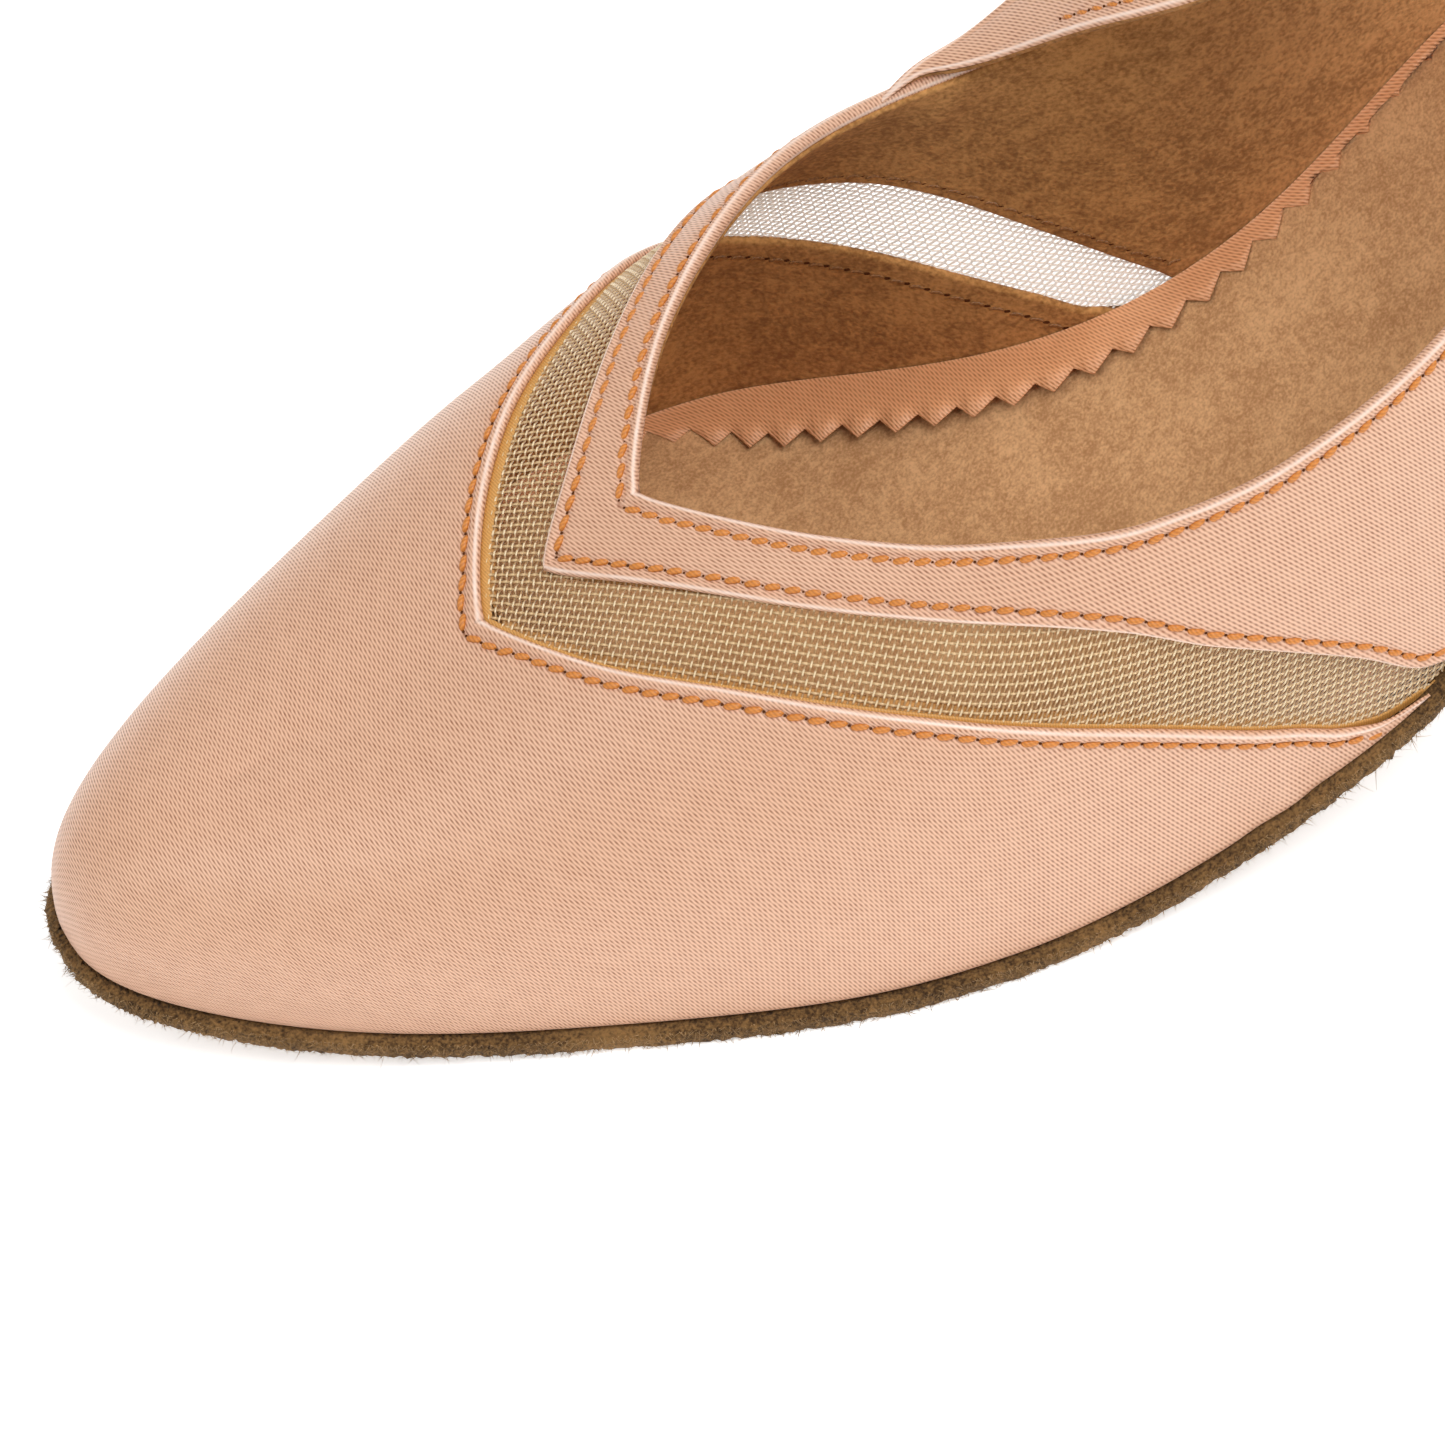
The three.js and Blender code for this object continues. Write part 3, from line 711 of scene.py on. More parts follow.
@dataclass
class Panel:
    """Piece of the upper between two edges; a missing edge is the feather edge or the ridge."""

    girths: Girths
    low: PanelEdge | None
    high: PanelEdge | None
    low_section: Section
    high_section: Section
    fill: int = 38
    face: float = 0.0
    least_fit: float = 0.3
    spare: float = 0.98
    lean: float = 0.07
    swing: float = 0.0145
    swing_to: float = 31.0
    creases: tuple[Crease, ...] = ()

    def rows(self, side: Side) -> dict[str, Array]:
        """Lays rows up every girth curve.

        Args:
            side: side of the foot.

        Returns:
            For each station and row its length up the girth, its height out and its places on both edges.
        """
        girths = self.girths
        ridge = girths.ridge(side)[:, None]
        foot = EdgeRun(np.zeros(len(ridge)), np.ones(len(ridge)))
        low = self.low.on(girths, side) if self.low else foot
        high = self.high.on(girths, side) if self.high else EdgeRun(ridge[:, 0], foot.slant)
        start, low_slant = low.length[:, None], low.slant[:, None]
        end, high_slant = high.length[:, None], high.slant[:, None]
        low_in, low_out = ways_of(self.low_section[::-1])
        high_in, high_out = ways_of(self.high_section)
        room = np.maximum(end - start, 0)
        need = low_slant * low_in[-1] + high_slant * high_in[0]
        fit = np.clip(room / np.maximum(need, 1e-6) * self.spare, 0, 1)
        near = start + low_slant * low_in * fit
        far = end - high_slant * high_in * fit
        inner_end = np.minimum(far[:, :1], ridge)
        inner_start = np.minimum(near[:, -1:], inner_end)
        between = lerp(inner_start, inner_end, np.linspace(0, 1, self.fill + 2)[1:-1])
        length = np.concatenate([near, between, far], axis=1)
        near_flat = start + low_slant * unrolled(self.low_section)[::-1] * fit
        far_flat = end - high_slant * unrolled(self.high_section) * fit
        flat = np.minimum(np.concatenate([near_flat, between, far_flat], axis=1), ridge)
        on_ridge = length >= ridge - 1e-6
        length = np.clip(length, 0, ridge)
        out = np.concatenate([low_out, np.zeros(self.fill), high_out])
        return {
            "length": length,
            "flat": np.where(on_ridge, ridge, flat),
            "out": out * np.maximum(fit, self.least_fit) + self.face,
            "low": (length - start) / low_slant if self.low else np.full_like(length, NO_EDGE),
            "high": (end - length) / high_slant if self.high else np.full_like(length, NO_EDGE),
            "low_run": self.run(self.low, side, length.shape),
            "high_run": self.run(self.high, side, length.shape),
            "on_ridge": on_ridge,
        }

    def run(self, edge: PanelEdge | None, side: Side, shape: tuple[int, ...]) -> Array:
        """Distance along an edge's sewn row for each station, in every column.

        Args:
            edge: the edge, if there is one.
            side: side of the foot.
            shape: stations and columns.

        Returns:
            The distances, 0 where there is no edge.
        """
        if edge is None:
            return np.zeros(shape)
        xs, run = edge.row(self.girths.last, side)
        return np.broadcast_to(np.interp(self.girths.xs, xs, run)[:, None], shape)

    @staticmethod
    def outer_height(section: Section, inward: Array) -> Array:
        """Height of the face, not of the turned-under part, at a distance in from an edge.

        Args:
            section: the edge's cross-section.
            inward: distances in from the edge.

        Returns:
            The heights.
        """
        way, out = ways_of(section)
        face = slice(int(np.argmin(way)), None, -1)
        return np.interp(inward, way[face], out[face])

    def cloth(self, side: Side, length: Array) -> Array:
        """Flat coordinates of the material, spread out from the ridge.

        Args:
            side: side of the foot.
            length: lengths up each girth curve.

        Returns:
            Vectors with the place over the satin's floats and along them in millimetres.
        """
        last, xs = self.girths.last, self.girths.xs
        ridge = last.ridge_at(xs)
        plan = np.stack([xs - ridge, last.feather_y(xs, side) - last.middle(ridge)], axis=-1)
        down = (self.girths.ridge(side)[:, None] - length)[..., None]
        flat = unit(plan)[:, None, :] * down
        across = flat[..., 1]
        near, past = np.clip(across, 0, self.swing_to), np.maximum(across - self.swing_to, 0)
        swing = self.lean * across - self.swing * (near**2 / 2 + self.swing_to * past)
        return flat_vectors(flat[..., 0] + ridge[:, None] - swing, across)

    def add_to(self, skin: Skin, inside: bool = False) -> None:
        """Adds both sides of the panel to a skin.

        Args:
            skin: what collects the grids.
            inside: turns the faces towards the foot.
        """
        laid = {side: self.rows(side) for side in Side}
        for side in Side:
            here, other = laid[side], laid[Side(-side.value)]
            touching = here["on_ridge"] & other["on_ridge"]
            for name in ("low", "high"):
                here[name + "_shared"] = np.where(touching, (here[name] + other[name]) / 2, here[name])
        for side in Side:
            here = laid[side]
            out = here["out"]
            clipped = here["on_ridge"]
            face = self.face + np.where(
                here["high_shared"] < here["low_shared"],
                self.outer_height(self.high_section, here["high_shared"]),
                self.outer_height(self.low_section, here["low_shared"]),
            )
            out = np.where(clipped, face, out)
            points, normals = self.girths.at(side, here["length"])
            for crease in self.creases:
                out = out + crease.lift(self.girths.last, side, points)
            values = {
                "cloth": self.cloth(side, here["flat"]),
                "low_edge": flat_vectors(here["low_run"], here["low_shared"]),
                "high_edge": flat_vectors(here["high_run"], here["high_shared"]),
            }
            flat = clipped[:-1, :-1] & clipped[1:, :-1] & clipped[1:, 1:] & clipped[:-1, 1:]
            flip = (side is LATERAL) == inside
            skin.add_grid(points + normals * out[..., None], values, flip=not flip, keep=~flat)


@dataclass
class EdgeLine:
    """Row sewn along a panel's edge, at a height over or under the last's surface."""

    last: Last
    edge: PanelEdge
    out: float
    step: float = 0.3

    def at(self, side: Side, run: Array) -> tuple[Array, Array]:
        """Places on the row.

        Args:
            side: side of the foot.
            run: distances along the row from its point.

        Returns:
            Points and outward directions.
        """
        last, nudge = self.last, self.edge.nudge
        known, to_point = self.edge.row(last, side)
        xs = np.interp(run, to_point[::-1], known[::-1])
        girths = Girths(last, xs)
        edge = self.edge.on(girths, side)
        length = edge.length + edge.slant * self.edge.gauge * self.edge.way
        share = np.array([np.interp(n, row, girths.share) for n, row in zip(length, girths.lengths[side])])
        ahead = last.point(xs + self.step, side, share) - last.point(xs - self.step, side, share)
        above, below = np.minimum(share + nudge, 1), np.maximum(share - nudge, 0)
        upward = last.point(xs, side, above) - last.point(xs, side, below)
        normals = unit(np.cross(upward, ahead) * side.value)
        return last.point(xs, side, share) + normals * self.out, normals


def add_beads(
    skin: Skin,
    points: Array,
    ahead: Array,
    out: Array,
    size: Triple,
    slew: float = 0.0,
    dip: float = 0.0,
    rings: int = 7,
    around: int = 8,
) -> None:
    """Adds one small rounded body at each point.

    Args:
        skin: what collects the bodies.
        points: middles of the bodies.
        ahead: direction that each body lies along.
        out: direction away from the material.
        size: half length, half width and half height.
        slew: turn within the material's face, in radians.
        dip: how far both ends sink.
        rings: rings along a body.
        around: points around a ring.
    """
    ahead = unit(ahead - out * np.sum(ahead * out, axis=-1, keepdims=True))
    across = np.cross(out, ahead)
    lie = ahead * math.cos(slew) + across * math.sin(slew)
    beside = np.cross(out, lie)
    t = np.linspace(-1, 1, rings)
    fat = np.sqrt(np.maximum(1 - np.abs(t) ** 2.6, 0.0))
    angle = np.arange(around) * 2 * math.pi / around
    along_it = np.repeat(t[:, None] * size[0], around, axis=1)
    beside_it = fat[:, None] * np.cos(angle)[None, :] * size[1]
    above_it = fat[:, None] * np.sin(angle)[None, :] * size[2] - dip * t[:, None] ** 2
    body = (
        points[:, None, None, :]
        + lie[:, None, None, :] * along_it[None, ..., None]
        + beside[:, None, None, :] * beside_it[None, ..., None]
        + out[:, None, None, :] * above_it[None, ..., None]
    )
    for one in body:
        place = np.zeros_like(one)
        place[..., 0], place[..., 1] = t[:, None] * size[0], beside_it
        skin.add_grid(one, {"lie": place}, closed=True)


# Finishes


@dataclass
class Number:
    """A number socket that grows Math nodes when it is used in an expression."""

    graph: "Graph"
    socket: Socket

    def _math(self, operation: str, *values: "Number | float") -> "Number":
        """Math node on numbers in their order."""
        node = self.graph.node("ShaderNodeMath", {"operation": operation}, dict(enumerate(values)))
        return Number(self.graph, node.outputs[0])

    def __add__(self, other: "Number | float") -> "Number":
        """Sum."""
        return self._math("ADD", self, other)

    __radd__ = __add__

    def __sub__(self, other: "Number | float") -> "Number":
        """Difference."""
        return self._math("SUBTRACT", self, other)

    def __rsub__(self, other: float) -> "Number":
        """Difference from a plain number."""
        return self._math("SUBTRACT", other, self)

    def __mul__(self, other: "Number | float") -> "Number":
        """Product."""
        return self._math("MULTIPLY", self, other)

    __rmul__ = __mul__

    def __truediv__(self, other: "Number | float") -> "Number":
        """Quotient."""
        return self._math("DIVIDE", self, other)

    def __pow__(self, other: float) -> "Number":
        """Power."""
        return self._math("POWER", self, other)

    def sine(self) -> "Number":
        """Sine of an angle in radians."""
        return self._math("SINE", self)

    def cosine(self) -> "Number":
        """Cosine of an angle in radians."""
        return self._math("COSINE", self)

    def absolute(self) -> "Number":
        """Size without sign."""
        return self._math("ABSOLUTE", self)

    def at_most(self, other: "Number | float") -> "Number":
        """The smaller one."""
        return self._math("MINIMUM", self, other)

    def at_least(self, other: "Number | float") -> "Number":
        """The larger one."""
        return self._math("MAXIMUM", self, other)

    def ramp(self, start: float, end: float) -> "Number":
        """Goes smoothly from 0 at start to 1 at end.

        Args:
            start: value that gives 0.
            end: value that gives 1.

        Returns:
            The ramped number.
        """
        settings = {"interpolation_type": "SMOOTHSTEP"}
        sockets = {"Value": self, "From Min": start, "From Max": end}
        return Number(self.graph, self.graph.node("ShaderNodeMapRange", settings, sockets).outputs[0])

    def hill(self, centre: float, width: float) -> "Number":
        """Bump of height 1 at centre that falls to 0 one width away."""
        return (1 - ((self - centre) / width).absolute()).at_least(0.0).ramp(0.0, 1.0)


@dataclass
class Graph:
    """A material and the nodes that it grows."""

    name: str
    material: Material = field(init=False)

    def __post_init__(self) -> None:
        """Starts with an empty node tree."""
        self.material = bpy.data.materials.new(self.name)
        self.material.use_nodes = True
        self.material.node_tree.nodes.clear()

    def node(self, kind: str, settings: dict, sockets: dict) -> bpy.types.Node:
        """Adds one node.

        Args:
            kind: the node's type.
            settings: its properties.
            sockets: numbers, vectors or links for its inputs, by name or number.

        Returns:
            The new node.
        """
        node = self.material.node_tree.nodes.new(kind)
        for key, value in settings.items():
            setattr(node, key, value)
        for key, value in sockets.items():
            if isinstance(value, Number):
                value = value.socket
            if isinstance(value, Socket):
                self.material.node_tree.links.new(value, node.inputs[key])
            elif isinstance(value, tuple) and node.inputs[key].type == "RGBA":
                node.inputs[key].default_value = (*value[:3], 1.0)
            else:
                node.inputs[key].default_value = value
        return node

    def mix(self, factor: "Number | float", first: object, second: object) -> Socket:
        """Mixes two colours by a factor."""
        return self.node("ShaderNodeMix", {"data_type": "RGBA"}, {0: factor, 6: first, 7: second}).outputs[2]

    def place(self) -> Socket:
        """The shoe's own coordinates in metres."""
        return self.node("ShaderNodeTexCoord", {}, {}).outputs["Object"]

    def named(self, name: str) -> tuple[Number, Number]:
        """The first two numbers of a named vector of the mesh.

        Args:
            name: name of the vector.

        Returns:
            Both numbers.
        """
        vector = self.node("ShaderNodeAttribute", {"attribute_name": name}, {}).outputs["Vector"]
        parts = self.node("ShaderNodeSeparateXYZ", {}, {0: vector}).outputs
        return Number(self, parts[0]), Number(self, parts[1])

    def noise(self, size: float, detail: float = 2.0, at: object = None) -> Number:
        """Cloudy noise.

        Args:
            size: size of its clouds in millimetres.
            detail: layers of finer noise.
            at: coordinates, the shoe's own unless given.

        Returns:
            A number about 0.5.
        """
        sockets = {"Vector": at or self.place(), "Scale": 1 / (size * MM), "Detail": detail}
        return Number(self, self.node("ShaderNodeTexNoise", {}, sockets).outputs["Fac"])

    def bump(self, height: Number, depth: float, strength: float, under: object = None) -> Socket:
        """Raises the surface.

        Args:
            height: height as a share of the depth.
            depth: real height in millimetres.
            strength: how strongly it shows.
            under: a normal to build on.

        Returns:
            The new normal.
        """
        sockets = {"Height": height, "Distance": depth * MM, "Strength": strength}
        if under is not None:
            sockets["Normal"] = under
        return self.node("ShaderNodeBump", {}, sockets).outputs["Normal"]

    def surface(self, sockets: dict) -> Material:
        """Ends the tree in one Principled shader.

        Args:
            sockets: its inputs.

        Returns:
            The finished material.
        """
        shader = self.node("ShaderNodeBsdfPrincipled", {}, sockets)
        self.node("ShaderNodeOutputMaterial", {}, {"Surface": shader.outputs[0]})
        return self.material


@dataclass(frozen=True)
class Satin:
    """Duchess satin: a fine lattice of ribs and short ties, puckered along seams, with painted shade in its
    grooves and stitch pits and a painted highlight on folds.
    """

    name: str
    turn: float = 0.0
    colour: Triple = (0.85, 0.525, 0.355)
    shade: Triple = (0.30, 0.11, 0.05)
    crest: Triple = (1.0, 0.87, 0.79)
    pit: Triple = (0.3, 0.1, 0.04)
    rib_pitch: float = 0.3
    tie_pitch: float = 0.46
    tie_slant: float = math.radians(25)
    pucker_width: float = 1.1
    pit_width: float = 0.3
    crest_at: float = 0.3
    crest_width: float = 0.27
    pucker_depth: float = 0.11
    cloud_depth: float = 0.4
    groove_depth: float = 0.07
    roughness: float = 0.33

    def lattice(self, graph: Graph) -> Number:
        """Depth of the grooves between the ribs and their ties, 0 to 1.

        Args:
            graph: the material's nodes.

        Returns:
            The depth.
        """
        first, second = graph.named("cloth")
        c, s = math.cos(self.turn), math.sin(self.turn)
        over, way = first * c + second * s, second * c - first * s
        rib = (over * (2 * math.pi / self.rib_pitch)).cosine()
        lean, rise = math.cos(self.tie_slant) / self.tie_pitch, math.sin(self.tie_slant) / self.tie_pitch
        tie = ((over * lean - way * rise) * (2 * math.pi)).cosine()
        other = ((over * (1 / self.rib_pitch - lean) + way * rise) * (2 * math.pi)).cosine()
        return (0.5 + rib * 0.32 + tie * 0.1 + other * 0.08) ** 1.4

    def edge(self, graph: Graph, name: str) -> tuple[Number, Number, Number]:
        """Pucker, pits that take painted shade and crest that takes a painted highlight, of the edge whose
        places the mesh holds under a name.

        Args:
            graph: the material's nodes.
            name: name of the vector.

        Returns:
            All three, from 0 to 1.
        """
        run, inward = graph.named(name)
        wave = (run * (2 * math.pi / STITCH_PITCH)).cosine()
        pucker = (0.5 - 0.5 * wave) * inward.hill(SEW_GAUGE + 0.3, self.pucker_width)
        # Mask of painted shade in the pits where each stitch pulls into the satin.
        pit = (wave - 0.7).ramp(0.0, 0.3) * inward.hill(SEW_GAUGE, self.pit_width)
        return pucker, pit, inward.hill(self.crest_at, self.crest_width)

    def make(self) -> Material:
        """Builds the material.

        Returns:
            The material.
        """
        graph = Graph(self.name)
        groove = self.lattice(graph)
        edges = zip(self.edge(graph, "low_edge"), self.edge(graph, "high_edge"))
        puckers, pits, crests = (low + high for low, high in edges)
        groove = groove * (1 - 0.5 * crests.at_most(1.0))
        soft, mottle = graph.noise(9.0, 3.0), graph.noise(1.6, 2.0)
        crests = crests.at_most(1.0) * (0.45 + mottle)
        bulk = graph.bump(puckers, self.pucker_depth, 0.7)
        cloud = graph.bump(soft + mottle * 0.12, self.cloud_depth, 0.4, under=bulk)
        # Painted shade: the lattice is the weave's own, but its grooves are darkened in colour, more or less
        # at random by the mottle.
        colour = graph.mix(groove * (0.7 + mottle * 0.5), self.colour, self.shade)
        # Painted highlight: each fold's crest is mixed towards a pale colour, unevenly by the mottle.
        colour = graph.mix(crests * 0.5, colour, self.crest)
        sockets = {
            # Painted shade in the stitch pits.
            "Base Color": graph.mix(pits.at_most(1.0) * 0.6, colour, self.pit),
            "Roughness": self.roughness + groove * 0.2,
            "Normal": graph.bump(1 - groove, self.groove_depth, 0.75, under=cloud),
            "Coat Weight": crests * 0.3,
            "Coat Roughness": 0.3,
            "Specular IOR Level": 0.55,
            "Sheen Weight": 0.12,
            "Sheen Roughness": 0.35,
            "Sheen Tint": (1.0, 0.84, 0.74),
        }
        return graph.surface(sockets)


@dataclass(frozen=True)
class Nap:
    """Brushed suede: short matted fibres, mottled where they lie down; it can carry a painted pool of light,
    paler towards the heel.
    """

    name: str
    light: Triple
    dark: Triple
    clump: float = 1.0
    fibre: float = 0.3
    depth: float = 0.2
    mottle: float = 9.0
    sheen: float = 0.2
    # Colour of the painted pool of light, and the places along the shoe, in metres, where it starts and is
    # full.
    brushed: Triple | None = None
    brushed_from: float = 0.006
    brushed_to: float = -0.028

    def make(self) -> Material:
        """Builds the material.

        Returns:
            The material.
        """
        graph = Graph(self.name)
        fibre, clump = graph.noise(self.fibre, 3.0), graph.noise(self.clump, 3.0)
        cloud = graph.noise(self.mottle, 2.0)
        tone = (fibre * 0.6 + clump * 0.35 + cloud * 0.35 - 0.15).ramp(0.3, 0.7)
        colour = graph.mix(tone, self.dark, self.light)
        # Painted light: the colour grows paler along the shoe towards the heel, where more light falls
        # inside.
        if self.brushed:
            x = Number(graph, graph.node("ShaderNodeSeparateXYZ", {}, {0: graph.place()}).outputs[0])
            share = ((x - self.brushed_from) / (self.brushed_to - self.brushed_from)).ramp(0.0, 1.0)
            colour = graph.mix(share * (0.25 + tone * 0.5), colour, self.brushed)
        sockets = {
            "Base Color": colour,
            "Roughness": 0.93,
            "Normal": graph.bump(fibre * 0.6 + clump * 0.7, self.depth, 0.8),
            "Specular IOR Level": 0.2,
            "Sheen Weight": self.sheen,
            "Sheen Roughness": 0.6,
            "Sheen Tint": (1.0, 0.85, 0.68),
        }
        return graph.surface(sockets)


@dataclass(frozen=True)
class Thread:
    """Twisted sewing thread or yarn, with painted shade along its twist."""

    name: str
    colour: Triple
    shade: Triple
    roughness: float = 0.42
    twist: float = 0.5
    gloss: float = 0.5

    def make(self) -> Material:
        """Builds the material.

        Returns:
            The material.
        """
        graph = Graph(self.name)
        lie, beside = graph.named("lie")
        ply = ((lie + beside) * (2 * math.pi / self.twist)).sine() * 0.5 + 0.5
        # Painted shade: the colour goes towards its shaded copy along the twist and at random by noise.
        colour = graph.mix(ply * 0.45 + graph.noise(0.3, 2.0) * 0.4, self.colour, self.shade)
        sockets = {"Base Color": colour, "Roughness": self.roughness, "Specular IOR Level": self.gloss}
        return graph.surface(sockets | {"Normal": graph.bump(ply, 0.05, 0.6)})


@dataclass(frozen=True)
class Yarn:
    """Glossy net yarn with painted light: its outside is painted with the warm light of the shoe, its inside
    pale and glowing as if lit from behind.
    """

    name: str
    under: Triple
    over: Triple
    # Pale colour and glow painted on the inner faces, for light that shines through from behind.
    inside: Triple = (0.97, 0.93, 0.88)

    def make(self) -> Material:
        """Builds the material: a painted highlight where a yarn goes over another and painted shade where it
        goes under.

        Returns:
            The material.
        """
        graph = Graph(self.name)
        over, outward = graph.named("over")
        # Painted highlight where a yarn goes over, painted shade where it goes under.
        colour = graph.mix(over.ramp(0.1, 0.95), self.under, self.over)
        # Outer faces take the warm painted colour, inner faces the pale painted backlight.
        outside = outward.ramp(-0.45, 0.1)
        sockets = {
            "Base Color": graph.mix(outside, self.inside, colour),
            "Roughness": 0.3,
            "Specular IOR Level": 0.6,
            # Painted glow of the inner faces, for light through the net from behind.
            "Emission Color": graph.mix(outside, self.inside, (0.0, 0.0, 0.0)),
            "Emission Strength": 0.2,
        }
        return graph.surface(sockets)


# Edges' cross-sections, from the face to the turned-under end

SEWN = table(FoldRow, (4.2, 0.0), (3.3, 0.01), (2.4, -0.01), (1.95, -0.11), (1.6, -0.26), (1.3, -0.12))
FOLDED = SEWN + table(
    FoldRow,
    (1.0, 0.09), (0.7, 0.18), (0.4, 0.12), (0.16, -0.06), (0.03, -0.3), (0.0, -0.5), (0.15, -0.78),
    (1.3, -0.84),
)
BOUND = SEWN + table(
    FoldRow,
    (1.0, 0.1), (0.7, 0.2), (0.4, 0.12), (0.16, -0.08), (0.04, -0.38), (0.0, -0.7), (0.06, -1.0),
    (0.35, -1.28), (1.4, -1.38),
)
TUCKED = table(
    FoldRow,
    (1.2, 0.0), (0.4, -0.03), (0.0, -0.25), (0.0, -1.1),
)
CUT = table(
    FoldRow,
    (3.0, 0.0), (1.6, -0.05), (0.9, 0.0), (0.3, -0.02), (0.06, 0.06), (-0.04, 0.25), (-0.04, 0.75),
    (1.4, 0.8),
)
CUT_LOW = table(
    FoldRow,
    (0.6, 0.0), (0.0, 0.05),
)
TAPE = table(
    FoldRow,
    (-1.15, -0.98), (-1.0, -0.86), (-0.2, -0.8), (0.7, -0.8),
)


def add_strip(
    skin: Skin,
    girths: Girths,
    edge: PanelEdge,
    section: Section,
    width: dict[Side, float],
    even_from: float = 9.0,
    even_over: float = 12.0,
) -> None:
    """Adds a narrow strip along an edge, on both sides.

    Args:
        skin: what collects the grids.
        girths: stations that the edge crosses.
        edge: the edge.
        section: cross-section of the strip.
        width: how far it stands out past the edge on each side, as a share of the section's own.
        even_from: distance behind the edge's point from which both sides grow alike.
        even_over: distance over which they do.
    """
    inward, out = ways_of(section)
    point = edge.rows[-1].along
    for side in Side:
        run = edge.on(girths, side)
        ridge = girths.ridge(side)[:, None]
        near_point = soft_step((girths.xs - point + even_from) / even_over)[:, None]
        share = lerp(width[side], sum(width.values()) / 2, near_point)
        way = np.where(inward < 0, inward * share, inward)
        length = run.length[:, None] + edge.way * run.slant[:, None] * way
        on_ridge, under = length >= ridge, length <= 0
        points, normals = girths.at(side, np.clip(length, 0, ridge))
        drop = on_ridge[:-1, :-1] & on_ridge[1:, :-1] & on_ridge[1:, 1:] & on_ridge[:-1, 1:]
        drop |= under[:-1, :-1] & under[1:, :-1] & under[1:, 1:] & under[:-1, 1:]
        grid = points + normals * out[..., None]
        lie = np.broadcast_to(girths.xs[:, None, None], grid.shape)
        skin.add_grid(grid, {"lie": lie}, flip=(side is LATERAL) == edge.above, keep=~drop)


def stations(
    start: float,
    end: float,
    step: float,
    dense: tuple[float, ...] = (),
    crowd: float = 4.0,
    crowd_step: float = 0.4,
    turn_stations: int = 26,
    last: Last = Last(),
) -> Array:
    """Places along the last, closer where heel and toe turn and near given points.

    Args:
        start: first place.
        end: last place.
        step: usual distance.
        dense: places to crowd round.
        crowd: distance before and behind them that is crowded.
        crowd_step: distance there.
        turn_stations: places where the heel turns.
        last: the last.

    Returns:
        The places in rising order.
    """
    turn = np.linspace(0, 1, turn_stations) * math.pi / 2
    heel = last.heel_rounding * (1 - np.cos(turn) ** (2 / last.heel_roundness))
    turn = np.linspace(0, 1, int(110 / step)) * math.pi / 2
    toe_length = last.length - last.toe_rounding_from
    toe = last.toe_rounding_from + toe_length * np.sin(turn) ** (2 / last.toe_roundness)
    middle = np.arange(last.heel_rounding, last.toe_rounding_from, step)
    crowds = [np.arange(place - crowd, place + crowd + 0.01, crowd_step) for place in dense]
    xs = np.unique(np.concatenate([heel, middle, toe, np.array([start, end]), *crowds]))
    xs = xs[(xs >= start) & (xs <= end)]
    keep = np.concatenate([[True], np.diff(xs) > 0.05 * step])
    keep[-1] = True
    return xs[keep]


@dataclass(frozen=True)
class Stitch:
    """Sizes of one lockstitch and of the dark bead of painted shade at the needle's puncture after it."""

    pitch: float = STITCH_PITCH
    size: Triple = (1.02, 0.35, 0.32)
    lift: float = 0.15
    dip: float = 0.24
    slew: float = 0.24
    hole: Triple = (0.16, 0.13, 0.09)
    hole_lift: float = 0.08
    hole_slew: float = 0.6
    nudge: float = 0.4

    def add(self, threads: Skin, holes: Skin, at: Callable, length: float, side: Side) -> int:
        """Adds a row of stitches and its holes, dark beads of painted shade.

        Args:
            threads: collects the stitches.
            holes: collects the holes.
            at: gives points and outward directions for distances along the row.
            length: length of the row.
            side: side that decides which way the stitches slant.

        Returns:
            The number of stitches.
        """
        runs = np.arange(self.pitch / 2, length - self.pitch / 2, self.pitch)
        for skin, shift, size, slew, lift, dip in (
            (threads, 0.0, self.size, self.slew, self.lift, self.dip),
            (holes, -self.pitch / 2, self.hole, self.hole_slew, self.hole_lift, 0.0),
        ):
            points, normals = at(runs + shift)
            ahead = at(runs + shift + self.nudge)[0] - at(np.maximum(runs + shift - self.nudge, 0))[0]
            add_beads(skin, points + normals * lift, ahead, normals, size, slew * side.value, dip)
        return len(runs)


